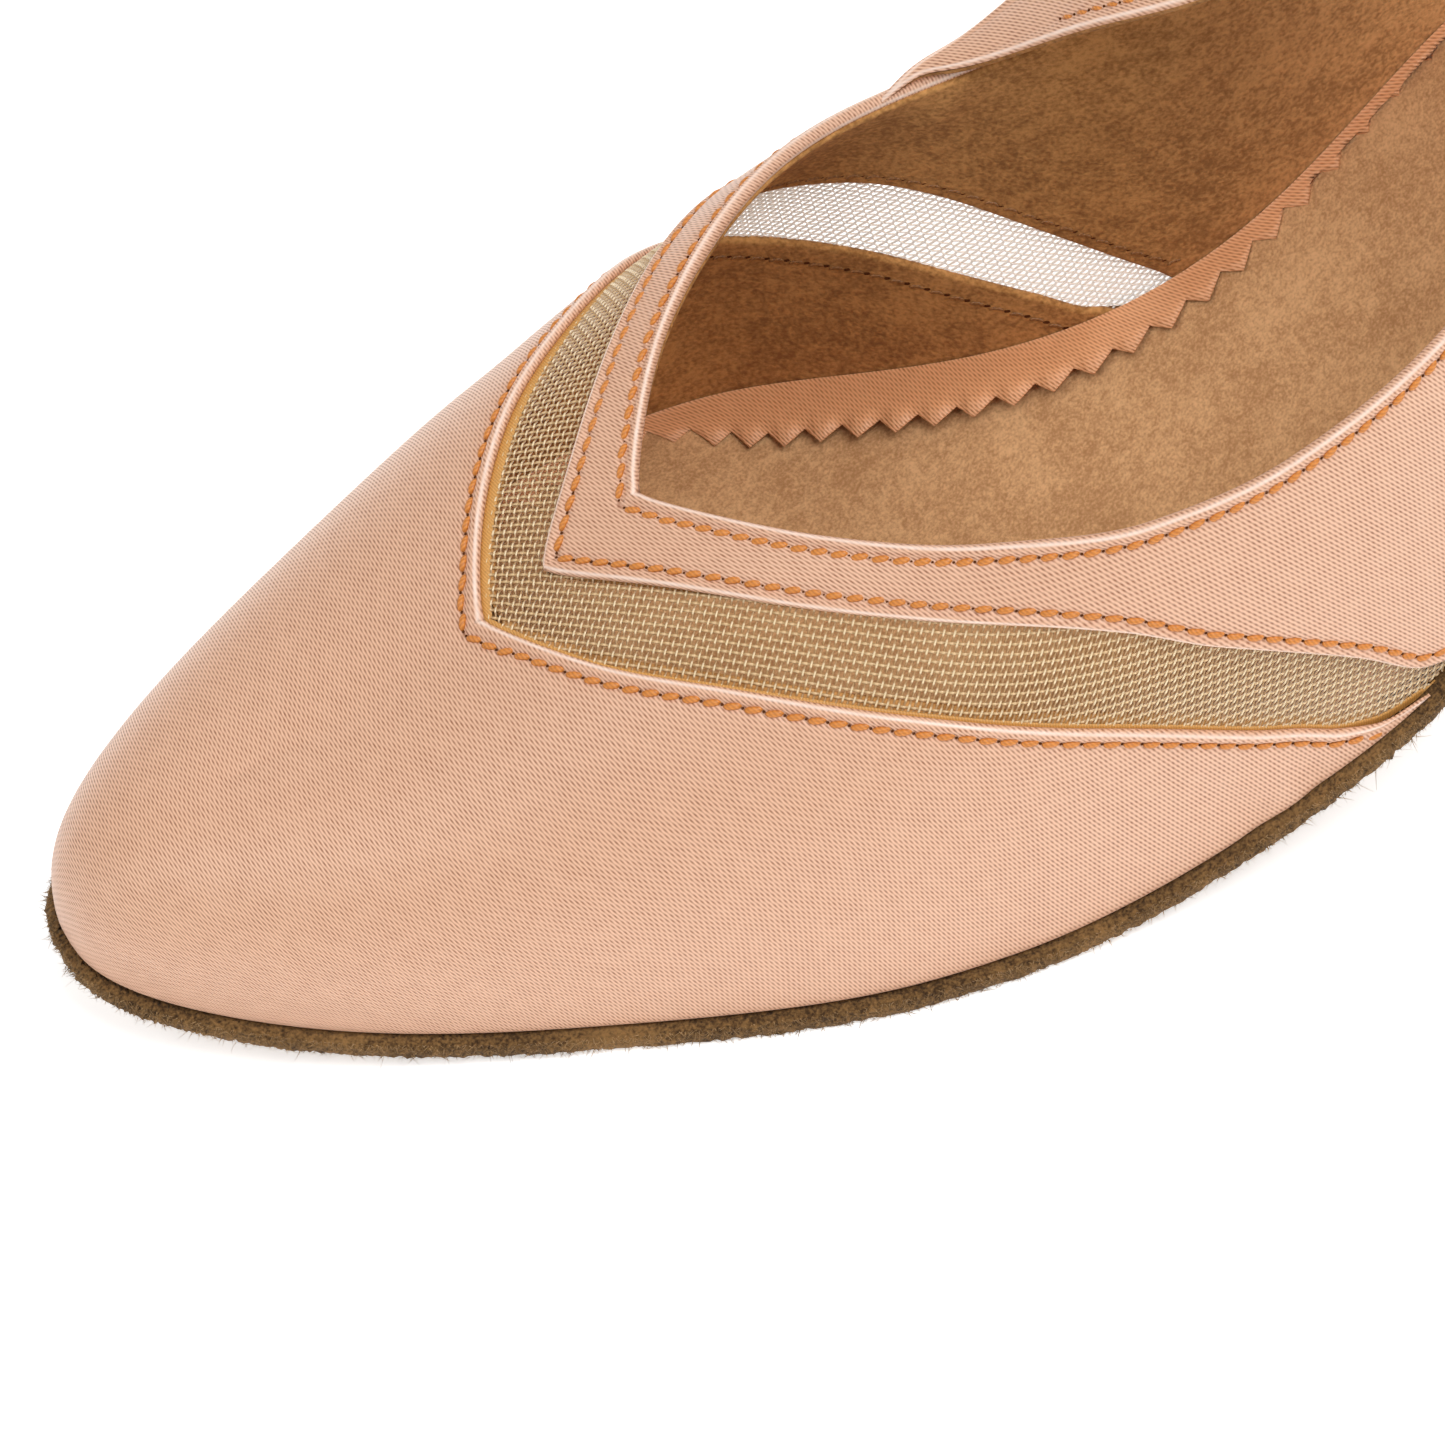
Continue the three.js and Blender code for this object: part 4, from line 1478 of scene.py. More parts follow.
@dataclass
class NetV:
    """See-through net set between vamp and throat band, of glossy yarns that go over and under."""

    last: Last
    girths: Girths
    low: PanelEdge
    high: PanelEdge
    turn: float = math.radians(-45.0)
    weft_pitch: float = 0.78
    warp_pitch: float = 0.6
    weft_size: tuple[float, float] = (0.15, 0.08)
    warp_size: tuple[float, float] = (0.11, 0.09)
    weft_wave: float = 0.07
    warp_wave: float = -0.1
    sides: int = 5
    shortest: int = 4
    depth: float = -0.98
    tuck: float = 1.6
    centre: float = 160.0
    reach: float = 118.0

    def limits(self, side: Side) -> tuple[Array, Array, Array]:
        """Lengths up the girth of both edges and of the ridge at the net's stations.

        Args:
            side: side of the foot.

        Returns:
            Three rows of lengths.
        """
        low, high = self.low.on(self.girths, side), self.high.on(self.girths, side)
        ridge = self.girths.ridge(side)
        return low.length - low.slant * self.tuck, high.length + high.slant * self.tuck, ridge

    def on_surface(self, x: Array, v: Array) -> tuple[Array, Array, Array]:
        """Puts flat places of the net on the last.

        Args:
            x: places along.
            v: places across, the lateral side above 0.

        Returns:
            Points, outward directions and whether each place lies between the edges.
        """
        points, normals = np.zeros((len(x), 3)), np.zeros((len(x), 3))
        inside = np.zeros(len(x), bool)
        xs = self.girths.xs
        for side in Side:
            mine = (v * side.value > 0) | ((v == 0) & (side is LATERAL))
            if not mine.any():
                continue
            px = np.clip(x[mine], xs[0], xs[-1] - 1e-6)
            low, high, ridge = (np.interp(px, xs, limit) for limit in self.limits(side))
            length = ridge - np.abs(v[mine])
            ok = (length > np.maximum(low, 0)) & (length < high) & (x[mine] > xs[0]) & (x[mine] < xs[-1])
            i = np.clip(np.searchsorted(xs, px) - 1, 0, len(xs) - 2)
            f = (px - xs[i]) / (xs[i + 1] - xs[i])
            share = np.zeros(len(px))
            for k in np.nonzero(ok)[0]:
                here = np.interp(length[k], self.girths.lengths[side][i[k]], self.girths.share)
                there = np.interp(length[k], self.girths.lengths[side][i[k] + 1], self.girths.share)
                share[k] = here + (there - here) * f[k]
            points[mine] = self.last.point(px, side, share)
            column = np.clip(np.searchsorted(self.girths.share, share), 0, len(self.girths.share) - 1)
            normals[mine] = self.girths.normals[side][i, column]
            inside[mine] = ok
        return points, normals, inside

    def add_yarns(
        self, skin: Skin, turn: float, pitch: float, other: float, size: tuple[float, float], wave: float
    ) -> None:
        """Adds one family of parallel yarns.

        Args:
            skin: what collects the yarns.
            turn: their direction from the shoe's length, in radians.
            pitch: distance between two yarns.
            other: distance between the yarns that they cross.
            size: half width and half thickness of a yarn.
            wave: how far it goes over and under; below 0 it starts under.
        """
        along_it = np.array([math.cos(turn), math.sin(turn)])
        across_it = np.array([-math.sin(turn), math.cos(turn)])
        way = np.arange(-self.reach, self.reach, other / 2)
        angle = np.arange(self.sides) * 2 * math.pi / self.sides + math.pi / 2
        c, s = np.cos(angle)[None, :, None] * size[0], np.sin(angle)[None, :, None] * size[1]
        count = int(self.reach / pitch)
        for n in range(-count, count + 1):
            flat = np.array([self.centre, 0.0]) + across_it * (n * pitch) + way[:, None] * along_it
            points, normals, inside = self.on_surface(flat[:, 0], flat[:, 1])
            edges = np.flatnonzero(np.diff(np.concatenate([[0], inside.astype(int), [0]])))
            for start, end in zip(edges[::2], edges[1::2]):
                if end - start < self.shortest:
                    continue
                out = normals[start:end]
                sway = np.cos(math.pi * (way[start:end] / other + n))
                line = points[start:end] + out * (self.depth + wave * sway)[:, None]
                beside = unit(np.cross(out, unit(np.gradient(line, axis=0))))
                ring = beside[:, None, :] * c + out[:, None, :] * s
                over = flat_vectors(sway[:, None] * math.copysign(1, wave), np.sin(angle))
                skin.add_grid(line[:, None, :] + ring, {"over": over}, closed=True)

    def add_to(self, weft: Skin, warp: Skin) -> None:
        """Adds both families.

        Args:
            weft: collects the weft.
            warp: collects the warp.
        """
        pitches = self.weft_pitch, self.warp_pitch
        self.add_yarns(weft, self.turn, *pitches, self.weft_size, self.weft_wave)
        self.add_yarns(warp, self.turn + math.pi / 2, *pitches[::-1], self.warp_size, self.warp_wave)


@dataclass
class Maker:
    """Maker of some pieces of the shoe, with what all of them need."""

    last: Last
    finishes: dict[str, Material]

    def skin(self) -> Skin:
        """An empty skin on the last."""
        return Skin(self.last)

    def dress(self, skin: Skin, name: str, finish: str, slot: str, node: str, merge: float = MERGE) -> Thing:
        """Makes a piece of a skin, gives it its finish and lets it stand for a plain node.

        Args:
            skin: the piece's faces.
            name: name of the piece.
            finish: name of its finish.
            slot: not used.
            node: the plain node.
            merge: points closer than this many millimetres become one.

        Returns:
            The piece, riding on the shoe.
        """
        piece = skin.build(name, merge)
        piece.data.materials.append(self.finishes[finish])
        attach(piece, "root")
        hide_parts(node)
        return piece


@dataclass
class Upper(Maker):
    """Vamp, net V, throat band with quarters, their lining, and what is sewn along their edges."""

    step: float = 0.9
    net_step: float = 0.6
    net_from: float = 114.0
    net_to: float = 203.0

    def build(self) -> list[Thing]:
        """Builds every piece of the upper.

        Returns:
            The pieces, riding on the shoe.
        """
        vamp_edge, band_edge = PanelEdge(VAMP_EDGE, False), PanelEdge(BAND_EDGE, True)
        topline = PanelEdge(TOPLINE, False)
        points = tuple(edge.rows[-1].along for edge in (topline, band_edge, vamp_edge))
        front = Girths(self.last, stations(VAMP_EDGE[0].along, self.last.length, self.step, points))
        back = Girths(self.last, stations(0, BAND_EDGE[-1].along, self.step, points))
        middle = Girths(self.last, stations(self.net_from, self.net_to, self.net_step, points))
        vamp = Panel(front, None, vamp_edge, TUCKED, FOLDED, creases=VAMP_CREASES)
        bias = {"lean": -0.25, "swing": 0.015, "swing_to": 13.0}
        band = Panel(back, band_edge, topline, FOLDED, BOUND, **bias, creases=QUARTER_CREASES)
        inside = {"face": -WALL}
        front_lining = Panel(front, None, vamp_edge, CUT_LOW, self.moved(CUT, -1.2), **inside)
        inside["creases"] = LINING_CREASES
        back_lining = Panel(back, band_edge, topline, CUT, self.moved(CUT, 0.7), **inside)
        pieces = []
        for name, panel, finish, slot in (
            ("vamp_satin", vamp, "satin_vamp", "satin"),
            ("band_and_quarters", band, "satin_band", "satin"),
            ("vamp_lining", front_lining, "lining", "lining"),
            ("quarter_lining", back_lining, "lining", "lining"),
        ):
            skin = self.skin()
            panel.add_to(skin, inside=slot == "lining")
            pieces.append(self.dress(skin, name, finish, slot, "upper"))
        weft, warp, tape = self.skin(), self.skin(), self.skin()
        NetV(self.last, middle, vamp_edge, band_edge).add_to(weft, warp)
        add_strip(tape, middle, vamp_edge, TAPE, {LATERAL: 0.22, MEDIAL: 0.9})
        pieces.append(self.dress(weft, "net_weft", "net_weft", "mesh", "upper", MERGE_THREADS))
        pieces.append(self.dress(warp, "net_warp", "net_warp", "mesh", "upper", MERGE_THREADS))
        pieces.append(self.dress(tape, "net_edge_tape", "tape", "thread", "upper"))
        return pieces + self.sewing(vamp_edge, band_edge, topline)

    @staticmethod
    def moved(section: Section, inward: float) -> Section:
        """An edge's section moved into the panel, or out of it below 0."""
        return tuple(FoldRow(row.inward + inward, row.out) for row in section)

    def sewing(self, *edges: PanelEdge) -> list[Thing]:
        """Sews the rows that show outside, and those inside along all edges but the last.

        Args:
            edges: the edges, the topline last.

        Returns:
            Stitches and their holes of painted shade, outside and inside.
        """
        flat = Stitch(size=(0.8, 0.2, 0.14), lift=0.0, hole=(0.42, 0.27, 0.09), hole_lift=0.03)
        made = []
        for name, stitch, out, sewn, finish in (
            ("outer", Stitch(), -SEW_SINK, edges, "thread"),
            ("inner", flat, -WALL, edges[:-1], "inner_thread"),
        ):
            threads, holes = self.skin(), self.skin()
            for edge in sewn:
                line = EdgeLine(self.last, edge, out)
                for side in Side:
                    length = edge.row(self.last, side)[1].max()
                    count = stitch.add(threads, holes, lambda run: line.at(side, run), length, side)
                    LOG.info("%d %s stitches", count, name)
            for skin, ending, look in ((threads, "_stitches", finish), (holes, "_stitch_holes", "hole")):
                made.append(self.dress(skin, name + ending, look, "thread", "upper", MERGE_THREADS))
        return made


def plan_line(last: Last, xs: Array, side: Side, outset: float | Array) -> Array:
    """Line beside the feather edge in plan.

    Args:
        last: the last.
        xs: places along it.
        side: side of the foot.
        outset: distance out from the feather edge.

    Returns:
        Places along and across for each x.
    """
    y = last.feather_y(xs, side)
    ahead = unit(np.stack([np.gradient(xs), np.gradient(y)], axis=-1))
    out = np.stack([-ahead[:, 1], ahead[:, 0]], axis=-1) * side.value
    if xs[-1] >= last.length:
        out[-1] = (1.0, 0.0)
    if xs[0] <= 0:
        out[0] = (-1.0, 0.0)
    return np.stack([xs, y], axis=-1) + out * np.reshape(outset, (-1, 1))


@dataclass(frozen=True)
class RimRow:
    """Point of a plate's rim: how far out from the feather edge, and how high over the plate's foot."""

    outset: float
    height: float


@dataclass
class Plate:
    """Plate under or in the shoe: a rim on both sides with a face above and below."""

    last: Last
    xs: Array
    rim: tuple[RimRow, ...]
    foot: Curve
    across: int = 24
    rough: float = 0.0
    seed: int = 3

    def add_to(self, skin: Skin, crown: float = 0.0) -> None:
        """Adds the closed plate.

        Args:
            skin: what collects it.
            crown: how far the middle of the upper face rises, in millimetres.
        """
        uneven = np.random.default_rng(self.seed).normal(0, self.rough, (len(self.rim), len(self.xs)))
        foot = self.foot(self.xs)
        up, down = (
            [
                np.column_stack([plan_line(self.last, self.xs, side, row.outset + wave), foot + row.height])
                for row, wave in zip(self.rim, uneven)
            ]
            for side in Side
        )
        down.reverse()
        share = np.linspace(0, 1, self.across)[1:-1]
        top = [lerp(up[-1], down[0], t) + np.array([0, 0, crown * math.sin(math.pi * t)]) for t in share]
        bottom = [lerp(down[-1], up[0], t) for t in share]
        ring = np.stack(up + top + down + bottom, axis=1)
        if self.xs[0] > 0:
            cap = ring[:1].copy()
            cap[..., 2] = foot[0] + (self.rim[0].height + self.rim[-1].height) / 2
            ring = np.concatenate([cap, ring])
        skin.add_grid(ring, closed=True, flip=True)


PINKED_EDGE = table(
    TwoSides,
    (0, 4.0, 3.6), (60, 4.0, 3.4), (91, 4.6, 3.7), (106, 5.4, 5.1), (116, 6.2, 7.0), (127, 7.2, 9.0),
    (140, 7.8, 9.9), (148, 7.6, 9.9), (155, 7.0, 8.4), (164, 6.0, 5.4), (200, 5.4, 5.2),
    (242, 5.4, 5.4),
)


@dataclass
class Insole(Maker):
    """Suede sock with a satin rand whose pinked edge laps onto it."""

    tooth: float = 3.9
    step: float = 1.6
    rand_step: float = 0.4
    rand_line: float = -6.0
    crown: float = 0.15
    sock_rim: tuple[RimRow, ...] = table(RimRow, (-2.6, 0.0), (-2.5, 1.5), (-2.6, 2.7), (-2.9, 3.0))
    rand_rim: tuple[RimRow, ...] = table(RimRow, (-1.9, 3.5), (-2.05, 3.4), (-2.5, 3.34), (-3.2, 3.3))
    lap: tuple[tuple[float, float], ...] = ((0.5, 3.3), (1, 3.24), (1, 3.04))

    def build(self) -> list[Thing]:
        """Builds sock and rand.

        Returns:
            Both pieces.
        """
        sock, rand = self.skin(), self.skin()
        xs = stations(0, self.last.length, self.step)
        Plate(self.last, xs, self.sock_rim, self.last.bottom).add_to(sock, self.crown)
        for side in Side:
            self.add_rand(rand, side)
        return [
            self.dress(sock, "sock", "sock", "sock_lining", "insole"),
            self.dress(rand, "pinked_rand", "satin_rand", "satin", "insole"),
        ]

    def add_rand(self, skin: Skin, side: Side) -> None:
        """Adds one side of the rand, from the wall's foot down onto the sock.

        Args:
            skin: what collects it.
            side: side of the foot.
        """
        fine = stations(0, self.last.length, self.rand_step)
        run = distances(plan_line(self.last, fine, side, self.rand_line))
        runs = np.append(np.arange(0, run[-1], self.tooth / 4), run[-1])
        xs = np.interp(runs, run, fine)
        phase = np.abs((runs / self.tooth) % 1 - 0.5) * 2
        tips = side_curves(PINKED_EDGE, along)[side](xs) - self.tooth / 2 * (1 - phase)
        start = self.rand_rim[-1].outset
        rows = self.rand_rim + tuple(RimRow(lerp(start, -tips, t), height) for t, height in self.lap)
        foot = self.last.bottom(xs)
        lines = [plan_line(self.last, xs, side, row.outset) for row in rows]
        points = [np.column_stack([line, foot + row.height]) for line, row in zip(lines, rows)]
        points = np.stack(points, axis=1)
        down = np.cumsum(np.linalg.norm(np.diff(points, axis=1, prepend=points[:, :1]), axis=-1), axis=1)
        far = np.full_like(points, NO_EDGE)
        values = {"cloth": flat_vectors(runs[:, None], down), "low_edge": far, "high_edge": far}
        skin.add_grid(points, values, flip=side is MEDIAL)


@dataclass
class Outsole(Maker):
    """Raw suede sole with a fuzzy edge."""

    start: float = 57.4
    step: float = 0.5
    margin: float = 0.9
    rough: float = 0.12
    rim: tuple[tuple[float, float], ...] = (
        (-0.9, 0.0), (-0.3, 0.08), (0.0, 0.45), (0.08, 1.1), (0.02, 1.75), (-0.25, 2.15), (-0.9, 2.32),
    )
    hairs: int = 10000
    thinnest: float = 0.025
    thickest: float = 0.055
    rooted: tuple[float, float] = (0.2, 2.3)
    lowest: float = 0.1
    seed: int = 5

    def build(self) -> list[Thing]:
        """Builds the sole and the loose fibres of its edge.

        Returns:
            Both pieces.
        """
        sole, fibres = self.skin(), self.skin()
        xs = stations(self.start, self.last.length, self.step)
        rim = tuple(RimRow(self.margin + out, height) for out, height in self.rim)
        Plate(self.last, xs, rim, self.last.tread_height, rough=self.rough).add_to(sole)
        rng = np.random.default_rng(self.seed)
        for side in Side:
            self.add_fibres(fibres, xs, side, rng)
        return [
            self.dress(sole, "suede_sole", "suede_edge", "suede", "outsole"),
            self.dress(fibres, "sole_edge_fibres", "fibre", "suede", "outsole", MERGE_HAIRS),
        ]

    def add_fibres(self, skin: Skin, fine: Array, side: Side, rng: np.random.Generator) -> None:
        """Adds loose fibres along one side, more of them short than long.

        Args:
            skin: what collects them.
            fine: stations of the sole.
            side: side of the foot.
            rng: where their chances come from.
        """
        last = self.last
        run = distances(plan_line(last, fine, side, self.margin))
        count = self.hairs // 2
        xs = np.sort(np.interp(rng.uniform(0, run[-1], count), run, fine))
        at = np.column_stack([plan_line(last, xs, side, self.margin - 0.1), last.tread_height(xs)])
        outward = plan_line(last, xs, side, self.margin + 1.0) - at[:, :2]
        out = unit(np.column_stack([outward, np.zeros(count)]))
        at[:, 2] += rng.uniform(*self.rooted, count)
        length = rng.gamma(2.2, 0.18, count) + 0.18
        aside = np.cross(out, [0.0, 0.0, 1.0]) * rng.normal(0, 0.8, (count, 1))
        aim = unit(out * 0.8 + aside + np.array([0, 0, 1.0]) * rng.normal(0, 0.45, (count, 1)))
        curl = unit(rng.normal(0, 1, (count, 3)))
        radius = rng.uniform(self.thinnest, self.thickest, count)
        angle = (np.arange(3) * 2 * math.pi / 3)[None, :, None]
        beside = unit(np.cross(aim, curl))
        above = np.cross(aim, beside)
        ring = beside[:, None, :] * np.cos(angle) + above[:, None, :] * np.sin(angle)
        rings = []
        for t in (0.0, 0.4, 0.75, 1.0):
            centre = at + aim * (length * t)[:, None] + curl * (length * 0.35 * t * t)[:, None]
            centre[:, 2] = np.maximum(centre[:, 2], self.lowest)
            rings.append(centre[:, None, :] + ring * (radius * (1 - 0.8 * t))[:, None, None])
        for one in np.stack(rings, axis=1):
            skin.add_grid(one, closed=True)


@dataclass(frozen=True)
class HeelRow:
    """Section of the heel from its top piece, share 0, to the seat, share 1."""

    share: float
    back: float
    front: float
    width: float


HEEL_SECTIONS = table(
    HeelRow,
    (0, 7.5, 36.5, 28), (0.16, 8.4, 35, 25.5), (0.4, 9.2, 35.4, 25), (0.62, 8.2, 38.4, 28.5),
    (0.8, 4.8, 43.6, 37), (0.92, 1.2, 50.5, 46.5), (1, 0, 57, 51),
)


@dataclass
class Heel(Maker):
    """Flared heel covered in satin, on a suede top piece."""

    seat_length: float = 57.0
    seat_width: float = 51.0
    seat_step: float = 1.5
    seat_gap: float = 0.25
    middle: float = 11.0
    breast_hollow: float = 1.6
    breast_points: int = 15
    margin: float = 0.6
    top_piece: float = 6.0
    gap: float = 0.4
    levels: int = 44

    def outline(self) -> Array:
        """Seat outline in plan: back round to the breast on one side and back on the other.

        Returns:
            Places along and across.
        """
        xs = stations(0, self.seat_length, self.seat_step)
        lateral, medial = (plan_line(self.last, xs, side, self.margin) for side in Side)
        lateral[-1, 0] = medial[-1, 0] = self.seat_length
        turn = np.linspace(0, math.pi, self.breast_points)[1:-1]
        across = lerp(lateral[-1, 1], medial[-1, 1], np.linspace(0, 1, self.breast_points)[1:-1])
        breast = np.column_stack([self.seat_length - self.breast_hollow * np.sin(turn), across])
        return np.concatenate([lateral, breast, medial[:0:-1]])

    def ring(self, share: float, inset: float = 0.0) -> tuple[Array, Array]:
        """Outline at one level.

        Args:
            share: share of the way up the heel.
            inset: how far it is drawn in.

        Returns:
            Places along and across, and the seat's place along for each.
        """
        at = [row.share for row in HEEL_SECTIONS]
        back, front, width = (
            float(through(at, [getattr(row, name) for row in HEEL_SECTIONS])(np.array(share)))
            for name in ("back", "front", "width")
        )
        seat = self.outline()
        length, width = front - back - 2 * inset, width - 2 * inset
        x = back + inset + length * seat[:, 0] / self.seat_length
        y = self.middle + width * (seat[:, 1] - self.middle) / self.seat_width
        return np.column_stack([x, y]), seat[:, 0]

    @staticmethod
    def closed(rings: list[Array]) -> Array:
        """Rings with both ends closed, by rings that come out from each end's centre.

        Args:
            rings: the rings, lowest first.

        Returns:
            A grid of rings.
        """
        shares = (0.0, 0.35, 0.7, 0.93)
        caps = []
        for ring in (rings[0], rings[-1]):
            centre = ring.mean(axis=0)
            caps.append(np.stack([lerp(centre, ring, t) * [1, 1, 0] + ring * [0, 0, 1] for t in shares]))
        return np.concatenate([caps[0], np.stack(rings), caps[1][::-1]])

    def build(self) -> list[Thing]:
        """Builds the covered heel and its top piece.

        Returns:
            Both pieces.
        """
        cover, lift = self.skin(), self.skin()
        rings = []
        for share in np.linspace(0, 1, self.levels):
            plan, seat_x = self.ring(share)
            seat = self.last.tread_height(seat_x) + self.last.sole_thickness + self.seat_gap
            rings.append(np.column_stack([plan, lerp(self.top_piece + self.gap, seat, share)]))
        body = self.closed(rings)
        run = np.cumsum(np.linalg.norm(np.diff(body, axis=1, prepend=body[:, -1:]), axis=-1), axis=1)
        far = np.full_like(body, NO_EDGE)
        values = {"cloth": flat_vectors(run, body[..., 2]), "low_edge": far, "high_edge": far}
        cover.add_grid(body, values, closed=True, flip=True)
        rings = []
        top = self.top_piece
        for height, inset in ((0.0, 0.9), (0.15, 0.45), (0.7, 0.3), (top - 0.4, 0.3), (top, 0.5)):
            plan, _ = self.ring(0.0, inset)
            rings.append(np.column_stack([plan, np.full(len(plan), height)]))
        lift.add_grid(self.closed(rings), closed=True, flip=True)
        return [
            self.dress(cover, "heel_cover", "satin_heel", "satin", "heel"),
            self.dress(lift, "suede_top_piece", "suede_edge", "suede", "heel_top_piece"),
        ]


@dataclass(frozen=True)
class StrapRow:
    """Both edges of the instep strap at one place."""

    toe: Triple
    heel: Triple


STRAP = table(
    StrapRow,
    ((135.7, -16.9, 62.6), (133.7, -19.3, 63.1)), ((131.2, -12.4, 66.6), (128.4, -17.5, 67.7)),
    ((125.7, -5.4, 74.0), (121.3, -13.5, 75.7)), ((119.8, 1.3, 80.0), (113.8, -8.2, 82.6)),
    ((110.5, 8.4, 87.0), (103.8, -1.2, 89.6)), ((101.5, 16.2, 91.6), (93.4, 8.2, 94.4)),
    ((93.8, 24.6, 90.6), (84.0, 19.0, 95.6)), ((89.6, 30.4, 86.6), (78.6, 27.6, 92.8)),
)


@dataclass
class InstepStrap(Maker):
    """Satin strap from the medial topline over the instep, lined and sewn along both edges."""

    root_at: float = 138.0
    tuck_at: float = 141.0
    tuck: float = 0.7
    tuck_width: float = 0.6
    sewn_from: float = 24.0
    root_width: float = 1.4
    root_inset: float = 0.4
    root_skew: float = 0.4
    end_tuck: float = 4.0
    end_inset: float = 0.55
    end_from: float = 0.9
    end_thinning: float = 0.45
    root_share: float = 0.4
    plain_from: float = 0.9
    nudge: float = 0.004
    end_at: tuple[float, float] = (88.0, 76.5)
    thickness: float = 1.6
    crown: float = 0.5
    full_width: float = 10.0
    lift: float = 0.9
    steps: int = 170
    stitch: Stitch = Stitch(size=(0.9, 0.22, 0.2), lift=0.06)
    lining: tuple[tuple[float, float], ...] = (
        (-0.97, 0.25), (-0.98, -0.75), (-0.9, -1), (-0.5, -1),
        (0.5, -1), (0.9, -1), (0.98, -0.75), (0.97, 0.25),
    )

    def rim(self, x: float, side: Side, inward: float, lift: float) -> Array:
        """Place beside a point of the topline."""
        point = self.last.point(x, side, self.last.topline[side](np.array(x)))
        return point + np.array([0.0, -side.value * inward, lift])

    def edges(self, t: Array) -> tuple[Array, Array]:
        """Both edges at shares of the strap's length.

        Args:
            t: shares of the length.

        Returns:
            Places on the edge towards the toe and on the other.
        """
        tucked = self.rim(self.tuck_at, MEDIAL, WALL / 3, -self.tuck)
        root = self.rim(self.root_at, MEDIAL, -self.root_inset, self.lift)
        half = np.array([0.0, self.tuck_width / 2, 0.0])
        toe = [tucked + half, root + np.array([-self.root_skew, self.root_width, 0.0])]
        heel = [tucked - half, root]
        for line, name, at in ((toe, "toe", self.end_at[0]), (heel, "heel", self.end_at[1])):
            line += [np.array(getattr(row, name)) for row in STRAP]
            line.append(self.rim(at, LATERAL, WALL / 2, self.lift))
            line.append(self.rim(at, LATERAL, WALL * self.end_inset, -self.end_tuck))
        lines = []
        for line in (np.array(toe), np.array(heel)):
            gone = distances(line)
            at = list(gone / gone[-1])
            lines.append(np.stack([through(at, list(line[:, k]))(t) for k in range(3)], axis=-1))
        return lines[0], lines[1]

    def half_thickness(self, width: Array, t: Array) -> Array:
        """Half the strap's thickness by its width and place: it is thin at its root and at its end."""
        end = 1 - self.end_thinning * soft_step((t - self.end_from) / (1 - self.end_from))
        return self.thickness / 2 * lerp(self.root_share, 1, np.minimum(1, width / self.full_width)) * end

    def frame_at(self, t: Array) -> tuple[Array, Array, Array, Array]:
        """Middle line, way across, outward direction and width at shares of the length.

        Args:
            t: shares of the length.

        Returns:
            All four.
        """
        toe, heel = self.edges(t)
        near, back = np.clip(t + self.nudge, 0, 1), np.clip(t - self.nudge, 0, 1)
        ahead = unit(sum(self.edges(near)) - sum(self.edges(back)))
        across = heel - toe
        width = np.linalg.norm(across, axis=-1)
        return (toe + heel) / 2, unit(across), unit(np.cross(ahead, across)), width

    def build(self) -> list[Thing]:
        """Builds strap, lining and stitches.

        Returns:
            The four pieces.
        """
        t = np.linspace(0, 1, self.steps)
        middle, across, out, width = self.frame_at(t)
        run = distances(middle)
        half = self.half_thickness(width, t)
        narrow = np.minimum(1, width / self.full_width)
        crown = self.crown * narrow
        plain = (run < self.sewn_from - 1) * NO_EDGE

        def points(places: list[Array], rises: list[Array]) -> Array:
            """Grid of points.

            Args:
                places: places across the strap, a row each.
                rises: heights out from its middle.

            Returns:
                The grid.
            """
            both = zip(places, rises)
            lines = [middle + across * place[:, None] + out * rise[:, None] for place, rise in both]
            return np.stack(lines, axis=1)

        face = FOLDED[:-2]
        places, rises = [], []
        for way, row in [(-1.0, row) for row in face[::-1]] + [(1.0, row) for row in face]:
            inward = np.minimum(row.inward, width / 2 * row.inward / face[0].inward)
            places.append(way * (width / 2 - inward))
            rises.append(half + crown * (0.5 - (2 * places[-1] / width) ** 2) + row.out * narrow)
        values = {"cloth": np.stack([flat_vectors(run, place) for place in places], axis=1)}
        for name, way in (("low_edge", 1), ("high_edge", -1)):
            inward = (width / 2 + way * place for place in places)
            rows = [flat_vectors(run, near + plain * (near > self.plain_from)) for near in inward]
            values[name] = np.stack(rows, axis=1)
        satin, lining, threads, holes = (self.skin() for _ in range(4))
        satin.add_grid(points(places, rises), values)
        places = [share * width / 2 for share, _ in self.lining]
        rises = [level * half + crown * (0.5 - share**2) for share, level in self.lining]
        lining.add_grid(points(places, rises), flip=True)
        length = run[-1] - self.sewn_from - self.end_tuck - 2
        for side in Side:
            self.stitch.add(
                threads,
                holes,
                lambda distance: self.on_row(side, np.interp(distance + self.sewn_from, run, t)),
                length,
                side,
            )
        return [
            self.dress(satin, "strap_satin", "satin_strap", "satin", "instep_strap"),
            self.dress(lining, "strap_lining", "lining", "lining", "instep_strap"),
            self.dress(threads, "strap_stitches", "thread", "thread", "instep_strap", MERGE_THREADS),
            self.dress(holes, "strap_stitch_holes", "hole", "thread", "instep_strap", MERGE_THREADS),
        ]

    def on_row(self, side: Side, t: Array) -> tuple[Array, Array]:
        """Points and outward directions of the row sewn along one edge, at shares of the length.

        Args:
            side: side of the strap.
            t: shares of the length.

        Returns:
            Points and directions.
        """
        middle, across, out, width = self.frame_at(t)
        narrow = np.minimum(1, width / self.full_width)
        place = side.value * (width / 2 - np.minimum(SEW_GAUGE, width / 2 * SEW_GAUGE / FOLDED[0].inward))
        rise = narrow * (self.crown * (0.5 - (2 * place / width) ** 2) - SEW_SINK)
        rise += self.half_thickness(width, t)
        return middle + across * place[:, None] + out * rise[:, None], out


